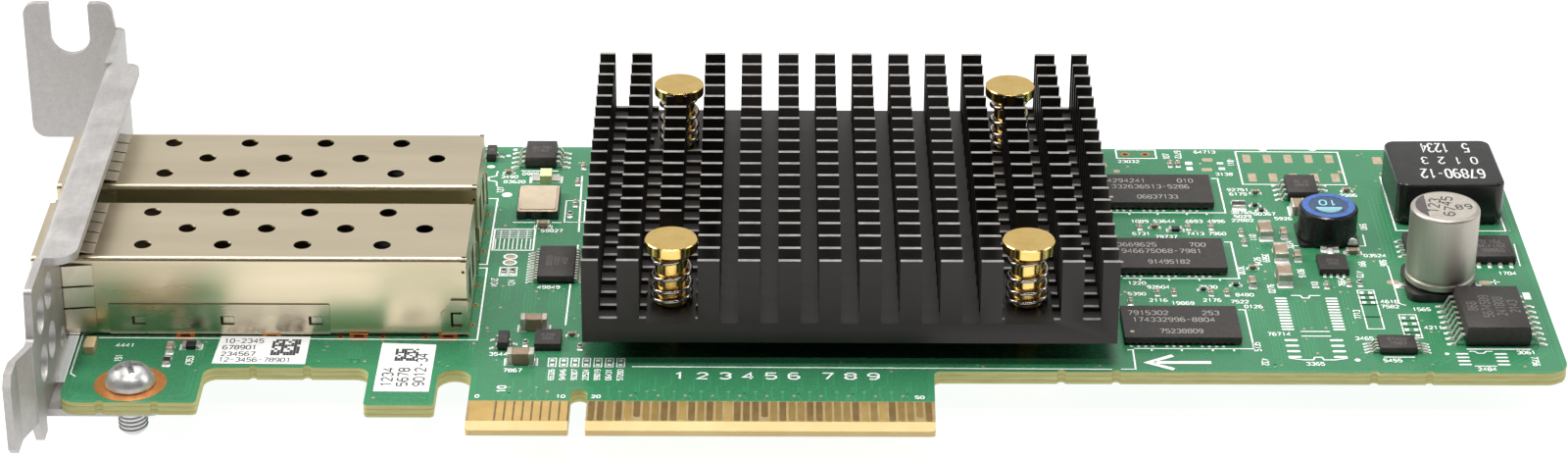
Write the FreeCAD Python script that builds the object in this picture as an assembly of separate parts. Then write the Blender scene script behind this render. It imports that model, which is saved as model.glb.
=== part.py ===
import FreeCAD, Part
import math
import os

# Low-profile dual-port network interface card, component side up.
# Frame, millimetres: X runs along the card's long side with the mounting
# bracket at -X, Y runs from the gold contact edge (Y = 0) to the back edge,
# Z is up. Z = 0 is the solder side of the board, and X = 0 is the centre of
# the key notch in the contact edge.

V = FreeCAD.Vector

# ---------------------------------------------------------------- dimensions
T = 1.57                     # board thickness
X_LEFT, X_RIGHT = -57.15, 110.50
Y_BACK = 68.90
TAB_Y = 5.05                 # front edge of the bracket tab of the board
TAB_X1 = -42.05
CUT1_Y = 12.95
FOOT_X0, FOOT_X1, FOOT_Y = -23.60, -15.90, 4.66
CUT2_Y = 12.57
TONGUE_X0, TONGUE_X1 = -12.15, 39.15
KEY_HALF, KEY_DEPTH = 0.95, 8.25
FRONT_Y = 12.55
BEVEL_LEN, BEVEL_DROP = 1.30, 0.45

SHEET = 0.90                 # bracket sheet thickness
PL_OUT = -59.40              # bracket plate, outer face
PL_IN = PL_OUT + SHEET
PL_Z0, PL_Z1 = -2.02, 16.40
PL_END = 72.90               # outer face of the slot tab
LIP_X = -55.05
LIP_Y0, LIP_Y1 = 10.80, 61.30
TAB_XL = -71.00
TAB_Z0, TAB_Z1 = 1.20, 19.40
SLOT_XC, SLOT_W, SLOT_Z = -65.40, 4.80, 12.55
TONGUE_TIP = -6.30
TONGUE_Z0, TONGUE_Z1 = 1.20, 10.85
SCREW_XY = [(-49.78, 9.26), (-49.78, 61.00)]
SCREW_D, SCREW_L = 3.00, 6.00
HEAD_D, HEAD_H = 5.60, 2.30

CAGE_X0, CAGE_X1 = -61.90, -13.10
CAGE_W = 14.00
CAGE_Y = [20.40, 38.40]      # near side of each cage
CAGE_Z0, CAGE_Z1 = 2.00, 11.40
CAGE_T = 0.25
VENT_D, VENT_PITCH = 2.00, 9.00

HS_X0, HS_X1 = 0.10, 59.85
HS_XC = 29.96
HS_Y0, HS_Y1 = 14.18, 68.97
HS_Z0, HS_BASE, HS_Z1 = 4.25, 2.45, 14.50
COLS, COL_PITCH, COL_W = 14, 4.49, 2.46
ROWS, ROW_PITCH, FIN_T = 19, 3.015, 0.52
PIN_DX, PIN_Y = 19.96, [19.18, 59.45]
PIN_HEAD_D, PIN_HEAD_Z = 5.90, 14.75
PIN_SHAFT_D = 3.20
PIN_SEAT = PIN_HEAD_Z - 1.23       # underside of the head, where the spring pushes

MEM_W, MEM_L, MEM_H = 13.30, 7.50, 1.10
MEM_XY = [(61.10, 18.60), (61.17, 35.40), (61.25, 52.20)]

CAN_X, CAN_Y, CAN_R, CAN_TOP = 98.74, 32.97, 4.00, 12.07

os.makedirs("parts", exist_ok=True)


# ------------------------------------------------------------------- helpers
def box(x0, x1, y0, y1, z0, z1):
    return Part.makeBox(x1 - x0, y1 - y0, z1 - z0, V(x0, y0, z0))


def cyl(x, y, z0, z1, r, axis="z"):
    if axis == "z":
        return Part.makeCylinder(r, z1 - z0, V(x, y, z0), V(0, 0, 1))
    if axis == "x":              # x, y are then the Y and Z of the axis
        return Part.makeCylinder(r, z1 - z0, V(z0, x, y), V(1, 0, 0))
    return Part.makeCylinder(r, z1 - z0, V(x, z0, y), V(0, 1, 0))


def rounded(points, plane="xy", at=0.0):
    """Closed face from (a, b, corner radius) points in a plane."""
    def vec(a, b):
        if plane == "xy":
            return V(a, b, at)
        if plane == "yz":
            return V(at, a, b)
        return V(a, at, b)
    n = len(points)
    ends = []
    for i in range(n):
        a, b, r = points[i]
        pa, pb = points[i - 1][0:2]
        na, nb = points[(i + 1) % n][0:2]
        if r <= 0:
            ends.append((vec(a, b), None, vec(a, b)))
            continue
        d1 = (pa - a, pb - b)
        d2 = (na - a, nb - b)
        l1, l2 = math.hypot(*d1), math.hypot(*d2)
        d1 = (d1[0] / l1, d1[1] / l1)
        d2 = (d2[0] / l2, d2[1] / l2)
        cosang = max(-1, min(1, d1[0] * d2[0] + d1[1] * d2[1]))
        half = math.acos(cosang) / 2
        t = r / math.tan(half)
        bis = (d1[0] + d2[0], d1[1] + d2[1])
        bl = math.hypot(*bis)
        bis = (bis[0] / bl, bis[1] / bl)
        dist = r / math.sin(half)
        mid = (a + bis[0] * (dist - r), b + bis[1] * (dist - r))
        ends.append((vec(a + d1[0] * t, b + d1[1] * t), vec(*mid),
                     vec(a + d2[0] * t, b + d2[1] * t)))
    edges = []
    for i in range(n):
        s, m, e = ends[i]
        if m is not None:
            edges.append(Part.Arc(s, m, e).toShape())
        nxt = ends[(i + 1) % n][0]
        if e.distanceToPoint(nxt) > 1e-6:
            edges.append(Part.makeLine(e, nxt))
    return Part.Face(Part.Wire(edges))


def slab(points, z0, z1, plane="xy"):
    face = rounded(points, plane, z0)
    d = {"xy": V(0, 0, z1 - z0), "yz": V(z1 - z0, 0, 0), "xz": V(0, z1 - z0, 0)}
    return face.extrude(d[plane])


def fuse(parts):
    first = parts[0]
    if len(parts) == 1:
        return first
    return first.multiFuse(parts[1:]).removeSplitter()


def cut(shape, tools):
    return shape.cut(Part.makeCompound(tools)) if tools else shape


def group(parts):
    return Part.makeCompound(parts)


def one(shape):
    """The single solid of a result, so that each file holds a plain solid."""
    return shape.Solids[0] if len(shape.Solids) == 1 else shape


SAVED = {}


def save(name, shape):
    if shape.ShapeType == "Compound" and len(shape.Solids) == 1:
        shape = shape.Solids[0]
    assert shape.isValid(), name
    assert all(s.isValid() and s.Volume > 0 for s in shape.Solids), name
    shape.exportStep("parts/" + name + ".step")
    SAVED[name] = shape
    print("%-24s solids %3d  volume %9.3f mm3" % (name, len(shape.Solids), shape.Volume))


# --------------------------------------------------------------- board (FR4)
outline = [
    (X_LEFT, Y_BACK, 1.0), (X_LEFT, TAB_Y, 2.0), (TAB_X1, TAB_Y, 0.5),
    (TAB_X1, CUT1_Y, 1.6), (FOOT_X0, CUT1_Y, 1.6), (FOOT_X0, FOOT_Y, 0.5),
    (FOOT_X1, FOOT_Y, 0.5), (FOOT_X1, CUT2_Y, 1.86), (TONGUE_X0, CUT2_Y, 1.86),
    (TONGUE_X0, 0.0, 0.5), (-KEY_HALF, 0.0, 0.2), (-KEY_HALF, KEY_DEPTH, 0.94),
    (KEY_HALF, KEY_DEPTH, 0.94), (KEY_HALF, 0.0, 0.2), (TONGUE_X1, 0.0, 0.5),
    (TONGUE_X1 + 0.25, FRONT_Y, 0.8), (X_RIGHT, FRONT_Y, 2.6),
    (X_RIGHT, Y_BACK, 1.0),
]
board = slab(outline, 0.0, T)
bites = []
for x0, x1, y in ((-53.15, -52.18, TAB_Y), (-47.02, -46.16, TAB_Y),
                  (53.15, 54.13, FRONT_Y), (59.27, 60.26, FRONT_Y),
                  (88.15, 89.13, FRONT_Y), (94.39, 95.27, FRONT_Y),
                  (-37.10, -36.23, CUT1_Y), (-31.10, -30.15, CUT1_Y)):
    bites.append(cyl((x0 + x1) / 2, y - 0.08, -1, T + 1, (x1 - x0) / 2))
for x0, x1 in ((81.69, 82.79), (87.91, 88.89), (-40.2, -39.2), (-34.0, -33.0)):
    bites.append(cyl((x0 + x1) / 2, Y_BACK + 0.08, -1, T + 1, (x1 - x0) / 2))
holes = [cyl(x, y, -1, T + 1, 1.60) for x, y in SCREW_XY]
holes += [cyl(HS_XC + s * PIN_DX, y, -1, T + 1, 1.70) for s in (-1, 1) for y in PIN_Y]
CAGE_PIN_X = [-45.12, -35.36, -25.48, -15.37]
for cy in CAGE_Y:
    for y in (cy + CAGE_T / 2, cy + CAGE_W - CAGE_T / 2):
        holes += [cyl(x, y, -1, T + 1, 0.60) for x in CAGE_PIN_X]
    holes += [cyl(-12.80, cy + 7.3 + d, -1, T + 1, 0.35) for d in (-4.75, 0.0, 4.8)]
CHOKE_PINS = [(98.4, 51.2), (98.4, 58.0), (106.1, 51.2), (106.1, 58.0)]
holes += [cyl(x, y, -1, T + 1, 0.70) for x, y in CHOKE_PINS]
bevel_top = slab([(-1.0, T + 1, 0), (-1.0, T - BEVEL_DROP, 0),
                  (0.0, T - BEVEL_DROP, 0), (BEVEL_LEN, T, 0), (BEVEL_LEN, T + 1, 0)],
                 TONGUE_X0 - 1, TONGUE_X1 + 2, "yz")
bevel_bot = slab([(-1.0, -1.0, 0), (BEVEL_LEN, -1.0, 0), (BEVEL_LEN, 0.0, 0),
                  (0.0, BEVEL_DROP, 0), (-1.0, BEVEL_DROP, 0)],
                 TONGUE_X0 - 1, TONGUE_X1 + 2, "yz")
board = cut(board, bites + holes + [bevel_top, bevel_bot])
save("circuit_board", board)

# ------------------------------------------------------ bracket (one folding)
plate = slab([
    (72.0, PL_Z1, 0.6), (72.0, PL_Z0, 0), (2.8, PL_Z0, 0.5), (0.9, TONGUE_Z0, 0),
    (0.9, TONGUE_Z1, 0), (2.3, TONGUE_Z1, 0.4), (3.2, PL_Z1, 0.6)], PL_OUT, PL_IN, "yz")
tongue = Part.Face(Part.makePolygon([
    V(PL_OUT, 2.0, TONGUE_Z0), V(PL_OUT, 0.9, TONGUE_Z0), V(-60.55, -2.6, TONGUE_Z0),
    V(-60.55, TONGUE_TIP, TONGUE_Z0), V(-59.65, TONGUE_TIP, TONGUE_Z0),
    V(-59.65, -2.4, TONGUE_Z0), V(PL_IN, 1.2, TONGUE_Z0), V(PL_IN, 2.0, TONGUE_Z0),
    V(PL_OUT, 2.0, TONGUE_Z0)])).extrude(V(0, 0, TONGUE_Z1 - TONGUE_Z0))
tip_trim = [
    slab([(TONGUE_TIP - 1, TONGUE_Z1 + 1, 0), (TONGUE_TIP - 1, TONGUE_Z1 - 1.0, 0),
          (TONGUE_TIP, TONGUE_Z1 - 1.0, 0), (TONGUE_TIP + 1.0, TONGUE_Z1, 0),
          (TONGUE_TIP + 1.0, TONGUE_Z1 + 1, 0)], -62, -58, "yz"),
    slab([(TONGUE_TIP - 1, TONGUE_Z0 - 1, 0), (TONGUE_TIP + 1.0, TONGUE_Z0 - 1, 0),
          (TONGUE_TIP + 1.0, TONGUE_Z0, 0), (TONGUE_TIP, TONGUE_Z0 + 1.0, 0),
          (TONGUE_TIP - 1, TONGUE_Z0 + 1.0, 0)], -62, -58, "yz")]
tongue = cut(tongue, tip_trim)
# stiffening lip folded back over the port cages, with a rounded bend
R_OUT, R_IN = 1.3, 0.4
lip = slab([(PL_OUT, 14.0, 0), (PL_OUT, PL_Z1, R_OUT), (LIP_X, PL_Z1, 0),
            (LIP_X, PL_Z1 - SHEET, 0), (PL_IN, PL_Z1 - SHEET, R_IN), (PL_IN, 14.0, 0)],
           LIP_Y0, LIP_Y1, "xz")
lip_mask = slab([(PL_OUT - 2, LIP_Y0, 0), (LIP_X, LIP_Y0, 2.4), (LIP_X, LIP_Y1, 1.6),
                 (PL_OUT - 2, LIP_Y1, 0)], 10, 20)
lip = lip.common(lip_mask)
edge_round = box(PL_OUT - 0.5, PL_IN + 0.5, LIP_Y0, LIP_Y1, 14.0, 20)
plate = plate.cut(edge_round)
# slot tab folded outwards at the far end
tab = slab([(TAB_XL, TAB_Z0, 1.8), (PL_OUT - 0.4, TAB_Z0, 0), (PL_OUT - 0.4, 16.2, 0.3),
            (-59.95, 17.2, 0.4), (-60.15, TAB_Z1, 1.6),
            (SLOT_XC + SLOT_W / 2, TAB_Z1, 0.3),
            (SLOT_XC + SLOT_W / 2, SLOT_Z, SLOT_W / 2 - 0.01),
            (SLOT_XC - SLOT_W / 2, SLOT_Z, SLOT_W / 2 - 0.01),
            (SLOT_XC - SLOT_W / 2, TAB_Z1, 0.3), (TAB_XL, TAB_Z1, 1.5)],
           72.0, PL_END, "xz")
bend = slab([(PL_OUT, 71.0, 0), (PL_IN, 71.0, 0), (PL_IN, PL_END, R_OUT),
             (PL_OUT - 1.2, PL_END, 0), (PL_OUT - 1.2, 72.0, 0), (PL_OUT, 72.0, R_IN)],
            TAB_Z0, 15.9)
plate = plate.cut(box(PL_OUT - 1, PL_IN + 1, 71.0, 74, -5, TAB_Z0))
plate = plate.cut(box(PL_OUT - 1, PL_IN + 1, 71.0, 74, TAB_Z0, 20))
ears = []
for x, y in SCREW_XY:
    ear = slab([(PL_IN - 0.1, y - 3.0, 0), (-45.6, y - 3.0, 2.2), (-45.6, y + 3.0, 2.2),
                (PL_IN - 0.1, y + 3.0, 0)], -SHEET, 0.0)
    ears.append(ear)
bracket = fuse([plate, tongue, lip, bend, tab] + ears)
cuts = [cyl(x, y, -3, 3, SCREW_D / 2 + 0.01) for x, y in SCREW_XY]
for x, y in SCREW_XY:        # relief notches each side of an ear's fold
    cuts.append(box(PL_OUT - 1, PL_IN + 0.6, y - 4.1, y - 3.0, -3, 0.3))
    cuts.append(box(PL_OUT - 1, PL_IN + 0.6, y + 3.0, y + 4.1, -3, 0.3))
    cuts.append(box(PL_OUT - 1, PL_IN + 0.001, y - 3.0, y + 3.0, -3, -SHEET))
PLATE_HOLES = [(6.55, 5.70, 2.10), (6.75, 11.50, 2.10), (11.80, 5.75, 2.10),
               (12.00, 11.75, 2.10), (17.60, 2.75, 1.30)]
cuts += [cyl(y, z, PL_OUT - 1, PL_IN + 1, r, "x") for y, z, r in PLATE_HOLES]
for cy in CAGE_Y:
    cuts.append(slab([(cy - 0.9, 1.15, 0.6), (cy + CAGE_W + 0.9, 1.15, 0.6),
                      (cy + CAGE_W + 0.9, 12.30, 0.6), (cy - 0.9, 12.30, 0.6)],
                     PL_OUT - 1, PL_IN + 1, "yz"))
cuts.append(cyl(-60.30, 12.20, 71, 74, 0.42, "y"))
bracket = cut(bracket, cuts)
save("mounting_bracket", bracket)

# ------------------------------------- bracket screws, pan head, cross recess
screws = []
for x, y in SCREW_XY:
    shank = cyl(x, y, T - SCREW_L, T, SCREW_D / 2)
    shank = shank.cut(Part.makeCylinder(3, 1, V(x, y, T - SCREW_L - 1))).common(
        Part.makeCone(SCREW_D / 2 - 0.45, SCREW_D / 2 + 5.0, 5.45, V(x, y, T - SCREW_L)).fuse(
            cyl(x, y, T - SCREW_L + 2, T, 4)))
    prof = Part.Wire([
        Part.makeLine(V(x, y, T), V(x + HEAD_D / 2 - 0.15, y, T)),
        Part.makeLine(V(x + HEAD_D / 2 - 0.15, y, T), V(x + HEAD_D / 2, y, T + 0.25)),
        Part.Arc(V(x + HEAD_D / 2, y, T + 0.25), V(x + 2.15, y, T + 1.62),
                 V(x, y, T + HEAD_H)).toShape(),
        Part.makeLine(V(x, y, T + HEAD_H), V(x, y, T))])
    head = Part.Face(prof).revolve(V(x, y, 0), V(0, 0, 1), 360)
    rec = []
    for ang in (20, 110):
        arm = box(-1.55, 1.55, -0.36, 0.36, T + HEAD_H - 1.15, T + HEAD_H + 1)
        arm.rotate(V(0, 0, 0), V(0, 0, 1), ang)
        arm.translate(V(x, y, 0))
        rec.append(arm)
    rec.append(Part.makeCone(0.25, 1.05, 1.4, V(x, y, T + HEAD_H - 1.45)))
    screws.append(one(cut(fuse([head, shank]), rec)))
save("bracket_screws", group(screws))


# ------------------------------------------------- SFP port cages, two pieces
def make_cage(cy, tag):
    y0, y1 = cy, cy + CAGE_W
    yc = (y0 + y1) / 2
    shell = slab([(y0, CAGE_Z0, 0), (y1, CAGE_Z0, 0), (y1, CAGE_Z1, 0.55), (y0, CAGE_Z1, 0.55)],
                 CAGE_X0, CAGE_X1, "yz")
    inner = slab([(y0 + CAGE_T, CAGE_Z0 - 1, 0), (y1 - CAGE_T, CAGE_Z0 - 1, 0),
                  (y1 - CAGE_T, CAGE_Z1 - CAGE_T, 0.3), (y0 + CAGE_T, CAGE_Z1 - CAGE_T, 0.3)],
                 CAGE_X0 - 1, CAGE_X1 - CAGE_T, "yz")
    tools = [inner]
    for i in range(4):           # staggered vent holes in the roof
        xa = -49.77 + VENT_PITCH * i
        tools.append(cyl(xa, y0 + 11.3, CAGE_Z1 - 1, CAGE_Z1 + 1, VENT_D / 2))
        tools.append(cyl(xa + VENT_PITCH / 2, y0 + 7.3, CAGE_Z1 - 1, CAGE_Z1 + 1, VENT_D / 2))
        tools.append(cyl(xa, y0 + 3.3, CAGE_Z1 - 1, CAGE_Z1 + 1, VENT_D / 2))
    for ys in (y0, y1 - CAGE_T):
        tools.append(box(-15.0, -13.55, ys - 1, ys + CAGE_T + 1, 2.9, 4.6))
        for xw in (-50.25, -40.25, -30.3):
            tools.append(box(xw - 0.95, xw + 0.95, ys - 1, ys + CAGE_T + 1, 2.95, 4.15))
    # two upright ejector slots in the rear wall
    tools.append(box(CAGE_X1 - 1, CAGE_X1 + 1, yc - 3.6, yc - 1.2, 4.0, 8.0))
    tools.append(box(CAGE_X1 - 1, CAGE_X1 + 1, yc + 1.2, yc + 3.6, 4.0, 8.0))
    cover = cut(shell, tools)
    pins = []
    for x in CAGE_PIN_X:         # press-fit pins of the side walls
        for ya in (y0, y1 - CAGE_T):
            pins.append(box(x - 0.45, x + 0.45, ya, ya + CAGE_T, -0.55, CAGE_Z0 + 0.3))
    cover = fuse([cover] + pins)
    save("cage_cover_" + tag, cover)
    base = [box(-60.6, -13.4, y0, y1, CAGE_Z0 - 0.2, CAGE_Z0)]
    for s, ya in ((-1, y0 - 0.2), (1, y1)):
        base.append(box(-53.6, -28.7, ya, ya + 0.2, CAGE_Z0 - 0.2, 5.60))
    base = fuse(base)
    tools = [box(-28.6, -13.0, yc - 5.9, yc + 5.9, 1, 3)]        # opening over the connector
    tools.append(box(-57.0, -54.5, yc - 2.2, yc + 2.2, 1, 3))    # module latch window
    for x in CAGE_PIN_X:
        for ya in (y0, y1 - CAGE_T):
            tools.append(box(x - 0.5, x + 0.5, ya - 0.05 if ya == y0 else ya - 0.03,
                             ya + CAGE_T + (0.03 if ya == y0 else 0.05), 1, CAGE_Z0))
    for xw in (-50.25, -40.25, -30.3):
        for ya in (y0 - 0.2, y1):
            tools.append(box(xw - 0.78, xw + 0.78, ya - 0.1, ya + 0.3, 3.0, 4.1))
    base = cut(base, tools)
    save("cage_base_" + tag, base)

    # sprung finger band round the mouth
    st = 0.12
    ring = box(-61.3, -60.3, y0 - st, y1 + st, CAGE_Z0 - 0.2 - st, CAGE_Z1 + st).cut(
        box(-62, -60, y0, y1, CAGE_Z0 - 0.2, CAGE_Z1))
    prof = [(-60.5, 0.0), (-60.5, st), (-59.3, 0.62), (-58.4, 0.62), (-55.05, 0.16),
            (-55.05, 0.04), (-58.45, 0.50), (-59.25, 0.50), (-60.4, 0.0)]
    pieces = [ring]
    n = 5
    pitch = (CAGE_W - 1.6) / n
    for i in range(n):
        ya = y0 + 0.8 + i * pitch + 0.12
        f = Part.Face(Part.makePolygon([V(a, ya, CAGE_Z1 + b) for a, b in prof + prof[:1]]))
        pieces.append(f.extrude(V(0, pitch - 0.24, 0)))
    m = 3
    sp = 2.72
    for i in range(m):
        za = CAGE_Z1 - 0.75 - (i + 1) * sp + 0.12
        for s, yb in ((-1, y0), (1, y1)):
            f = Part.Face(Part.makePolygon([V(a, yb + s * b, za) for a, b in prof + prof[:1]]))
            pieces.append(f.extrude(V(0, 0, sp - 0.24)))
    save("emi_spring_" + tag, fuse(pieces))

    # 20-way edge connector on the board, inside the cage
    body = box(-26.8, -14.4, yc - 5.5, yc + 5.5, T, 8.6)
    body = body.cut(box(-27, -20.4, yc - 4.55, yc + 4.55, 4.55, 6.15))
    body = body.cut(box(-27, -25.9, yc - 4.9, yc + 4.9, 4.25, 6.45))
    body = cut(body, [box(-24.9, -15.0, yc - 4.4, yc + 4.4, 7.6, 9.0)])
    save("host_connector_" + tag, body)
    contacts = []
    for i in range(10):
        y = yc - 3.6 + 0.8 * i
        low = fuse([box(-26.95, -21.0, y - 0.15, y + 0.15, 4.55, 4.70),
                    box(-26.95, -26.8, y - 0.15, y + 0.15, T, 4.70),
                    box(-27.9, -26.8, y - 0.15, y + 0.15, T, T + 0.15)])
        low = low.cut(box(-26.8, -25.9, y - 0.2, y + 0.2, 4.0, 4.25))
        contacts.append(one(low))
        contacts.append(box(-25.6, -20.4, y + 0.25, y + 0.55, 6.0, 6.15))
    save("host_contacts_" + tag, group(contacts))


make_cage(CAGE_Y[0], "a")
make_cage(CAGE_Y[1], "b")

# ------------------------------------------------ status light on the bracket
led = fuse([box(-55.95, -54.75, 15.85, 18.35, T, T + 0.95),
            box(-56.10, -55.95, 16.1, 18.0, T + 0.15, T + 0.85)])
save("status_led", led)

# ---------------------------------------------- controller, pad and heat sink
chip = box(15.5, 44.5, 25.0, 54.0, T + 0.35, T + 1.30)
mould = slab([(17.5, 27.0, 0.4), (42.5, 27.0, 0.4), (42.5, 52.0, 0.4), (17.5, 52.0, 0.4)],
             T + 1.30, T + 2.40)
save("controller_chip", fuse([chip, mould]))
balls = []
for i in range(14):
    for j in range(14):
        if 4 <= i <= 9 and 4 <= j <= 9 or 0 < i < 13 and 0 < j < 13:
            continue
        balls.append(cyl(17.0 + 2.0 * i, 26.5 + 2.0 * j, T, T + 0.35, 0.3))
save("controller_solder_balls", group(balls))
save("thermal_pad", slab([(20.0, 29.5, 0.5), (40.0, 29.5, 0.5), (40.0, 49.5, 0.5), (20.0, 49.5, 0.5)],
                         T + 2.40, HS_Z0))

z_base = HS_Z0 + HS_BASE
prof = [V(0, HS_Y0, HS_Z0), V(0, HS_Y1, HS_Z0), V(0, HS_Y1, HS_Z1)]
y_rows = [14.44 + ROW_PITCH * r for r in range(ROWS)]
for r in reversed(range(ROWS)):
    ya = max(HS_Y0, y_rows[r] - FIN_T / 2)
    yb = min(HS_Y1, y_rows[r] + FIN_T / 2)
    if r < ROWS - 1:
        prof.append(V(0, yb, z_base))
        prof.append(V(0, yb, HS_Z1))
    prof.append(V(0, ya, HS_Z1))
    if r > 0:
        prof.append(V(0, ya, z_base))
prof.append(V(0, HS_Y0, HS_Z0))
clean = [prof[0]]
for q in prof[1:]:
    if clean[-1].distanceToPoint(q) > 1e-6:
        clean.append(q)
sink = Part.Face(Part.makePolygon([V(HS_X0, q.y, q.z) for q in clean])).extrude(
    V(HS_X1 - HS_X0, 0, 0))
tools = []
for i in range(COLS - 1):        # cross cuts between the pin columns
    xa = HS_XC + (i - 6.5) * COL_PITCH + COL_W / 2
    xb = HS_XC + (i + 1 - 6.5) * COL_PITCH - COL_W / 2
    dome = 0.55 if i in (0, 1, 2, 10, 11, 12) else 0.0
    tools.append(box(xa, xb, HS_Y0 - 1, HS_Y1 + 1, z_base + dome, HS_Z1 + 1))
for s in (-1, 1):                # room for the push pins
    xc = HS_XC + s * PIN_DX
    for y, ya, yb in ((PIN_Y[0], HS_Y0 - 1, y_rows[3] + 1.0), (PIN_Y[1], y_rows[15] - 1.0, HS_Y1 + 1)):
        tools.append(box(xc - 2.75, xc + 2.75, ya, yb, z_base, HS_Z1 + 1))
        tools.append(cyl(xc, y, z_base, HS_Z1 + 1, 3.1))
        tools.append(cyl(xc, y, HS_Z0 - 1, z_base + 1, PIN_SHAFT_D / 2 + 0.15))
sink = cut(sink, tools)
save("heatsink", sink)

# --------------------------------------- push pins (turned brass) and springs
pins, springs = [], []
SPR_R, WIRE_R = 2.42, 0.25
for s in (-1, 1):
    for y in PIN_Y:
        x = HS_XC + s * PIN_DX
        pts = [(0, PIN_HEAD_Z), (2.86, PIN_HEAD_Z), (2.95, PIN_HEAD_Z - 0.09),
               (2.95, PIN_SEAT + 0.06), (2.89, PIN_SEAT), (1.84, PIN_SEAT),
               (1.84, z_base + 0.35), (1.60, z_base + 0.15),
               (1.60, -0.15), (1.95, -0.55), (1.95, -0.8),
               (0.95, -2.6), (0, -2.6)]
        face = Part.Face(Part.makePolygon([V(x + a, y, z) for a, z in pts + pts[:1]]))
        pin = face.revolve(V(x, y, 0), V(0, 0, 1), 360)
        pin = pin.cut(box(x - 0.35, x + 0.35, y - 3, y + 3, -3, -0.0))
        pins.append(one(pin))
        z0, z1 = z_base + WIRE_R, PIN_SEAT - WIRE_R
        turns = 4.0
        pitch = (z1 - z0) / turns
        rise = [0.0, 0.179, 0.371, 0.648, 1.0]     # the end coils lie closer together
        rings = []
        steps = int(round(turns * 18))
        tilt = math.atan2(pitch, 2 * math.pi * (SPR_R - WIRE_R))
        for k in range(steps + 1):           # octagonal wire sections along the coil
            a = 2 * math.pi * turns * k / steps
            u = turns * k / steps
            q0 = min(int(u), 3)
            zc = z0 + (z1 - z0) * (rise[q0] + (rise[q0 + 1] - rise[q0]) * (u - q0))
            er = V(math.cos(a), math.sin(a), 0)
            et = V(-math.sin(a) * math.sin(tilt), math.cos(a) * math.sin(tilt), -math.cos(tilt))
            mid = V(x, y, zc) + er * (SPR_R - WIRE_R)
            ring = [mid + er * (WIRE_R * math.cos(math.pi * (2 * q + 1) / 8))
                    - et * (WIRE_R * math.sin(math.pi * (2 * q + 1) / 8)) for q in range(8)]
            rings.append(Part.makePolygon(ring + ring[:1]))
        spring = Part.makeLoft(rings, True, True)
        springs.append(spring)
save("push_pins", group(pins))
save("pin_springs", group(springs))

# --------------------------------------------------------------- memory chips
mem = []
for x, y in MEM_XY:
    mem.append(slab([(x, y, 0.12), (x + MEM_W, y, 0.12), (x + MEM_W, y + MEM_L, 0.12),
                     (x, y + MEM_L, 0.12)], T + 0.28, T + MEM_H))
save("memory_chips", group(mem))
balls = []
for x, y in MEM_XY:
    for i in range(16):
        for j in (0, 1, 2, 6, 7, 8):
            if 0 < i < 15 and j in (1, 2, 6, 7):
                continue
            balls.append(cyl(x + MEM_W / 2 + (i - 7.5) * 0.8, y + MEM_L / 2 + (j - 4) * 0.8,
                             T, T + 0.28, 0.2))
save("memory_solder_balls", group(balls))


# ------------------------------------------------ chips with gull-wing leads
def chip_body(x0, x1, y0, y1, z0, z1, draft=0.12, axis="y"):
    """Moulded body: two tapers meeting at the lead plane."""
    zm = (z0 + z1) / 2

    def ring(d, z):
        return Part.makePolygon([V(x0 + d, y0 + d, z), V(x1 - d, y0 + d, z),
                                 V(x1 - d, y1 - d, z), V(x0 + d, y1 - d, z),
                                 V(x0 + d, y0 + d, z)])
    low = Part.makeLoft([ring(draft * 0.8, z0), ring(0, zm)], True, True)
    top = Part.makeLoft([ring(0, zm), ring(draft, z1)], True, True)
    return fuse([low, top])


def lead(px, py, dx, dy, w, reach, zm, t=0.16, foot=0.55):
    """Gull-wing lead: leaves the body at (px, py, zm) in direction (dx, dy)."""
    pts = [(0, zm + t / 2), (reach * 0.30, zm + t / 2), (reach - foot * 0.85, T + t),
           (reach, T + t), (reach, T), (reach - foot, T), (reach * 0.30 - t * 0.7, zm - t / 2),
           (0, zm - t / 2)]
    poly = []
    for a, z in pts + pts[:1]:
        if dx:
            poly.append(V(px + dx * a, py - w / 2, z))
        else:
            poly.append(V(px - w / 2, py + dy * a, z))
    return Part.Face(Part.makePolygon(poly)).extrude(V(0, w, 0) if dx else V(w, 0, 0))


def leads_x(x0, x1, yc, n, pitch, w, reach, zm):
    out = []
    for k in range(n):
        y = yc + (k - (n - 1) / 2) * pitch
        out.append(lead(x0, y, -1, 0, w, reach, zm))
        out.append(lead(x1, y, 1, 0, w, reach, zm))
    return out


# power sequencer, wide 16-lead
Z0 = T + 0.12
save("power_chip", chip_body(99.60, 107.10, 18.45, 28.75, Z0, T + 2.50, 0.22))
save("power_chip_leads", group(leads_x(99.60, 107.10, 23.55, 8, 1.27, 0.42, 1.50, (Z0 + T + 2.5) / 2)))
# configuration memory, 8-lead
save("flash_chip", chip_body(-9.15, -5.25, 62.75, 67.65, Z0, T + 1.55, 0.14))
save("flash_chip_leads", group(leads_x(-9.15, -5.25, 65.05, 4, 1.27, 0.42, 1.25, (Z0 + T + 1.55) / 2)))
# logic chip, 24-lead fine pitch
save("logic_chip", chip_body(-6.05, -1.70, 32.85, 40.60, Z0, T + 1.05, 0.10))
save("logic_chip_leads", group(leads_x(-6.05, -1.70, 36.75, 12, 0.65, 0.26, 1.00, (Z0 + T + 1.05) / 2)))
# buffer chip, 8-lead fine pitch
save("buffer_chip", chip_body(89.70, 94.00, 16.55, 19.75, Z0, T + 0.95, 0.10))
save("buffer_chip_leads", group(leads_x(89.70, 94.00, 18.1, 4, 0.65, 0.28, 1.20, (Z0 + T + 0.95) / 2)))
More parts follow.
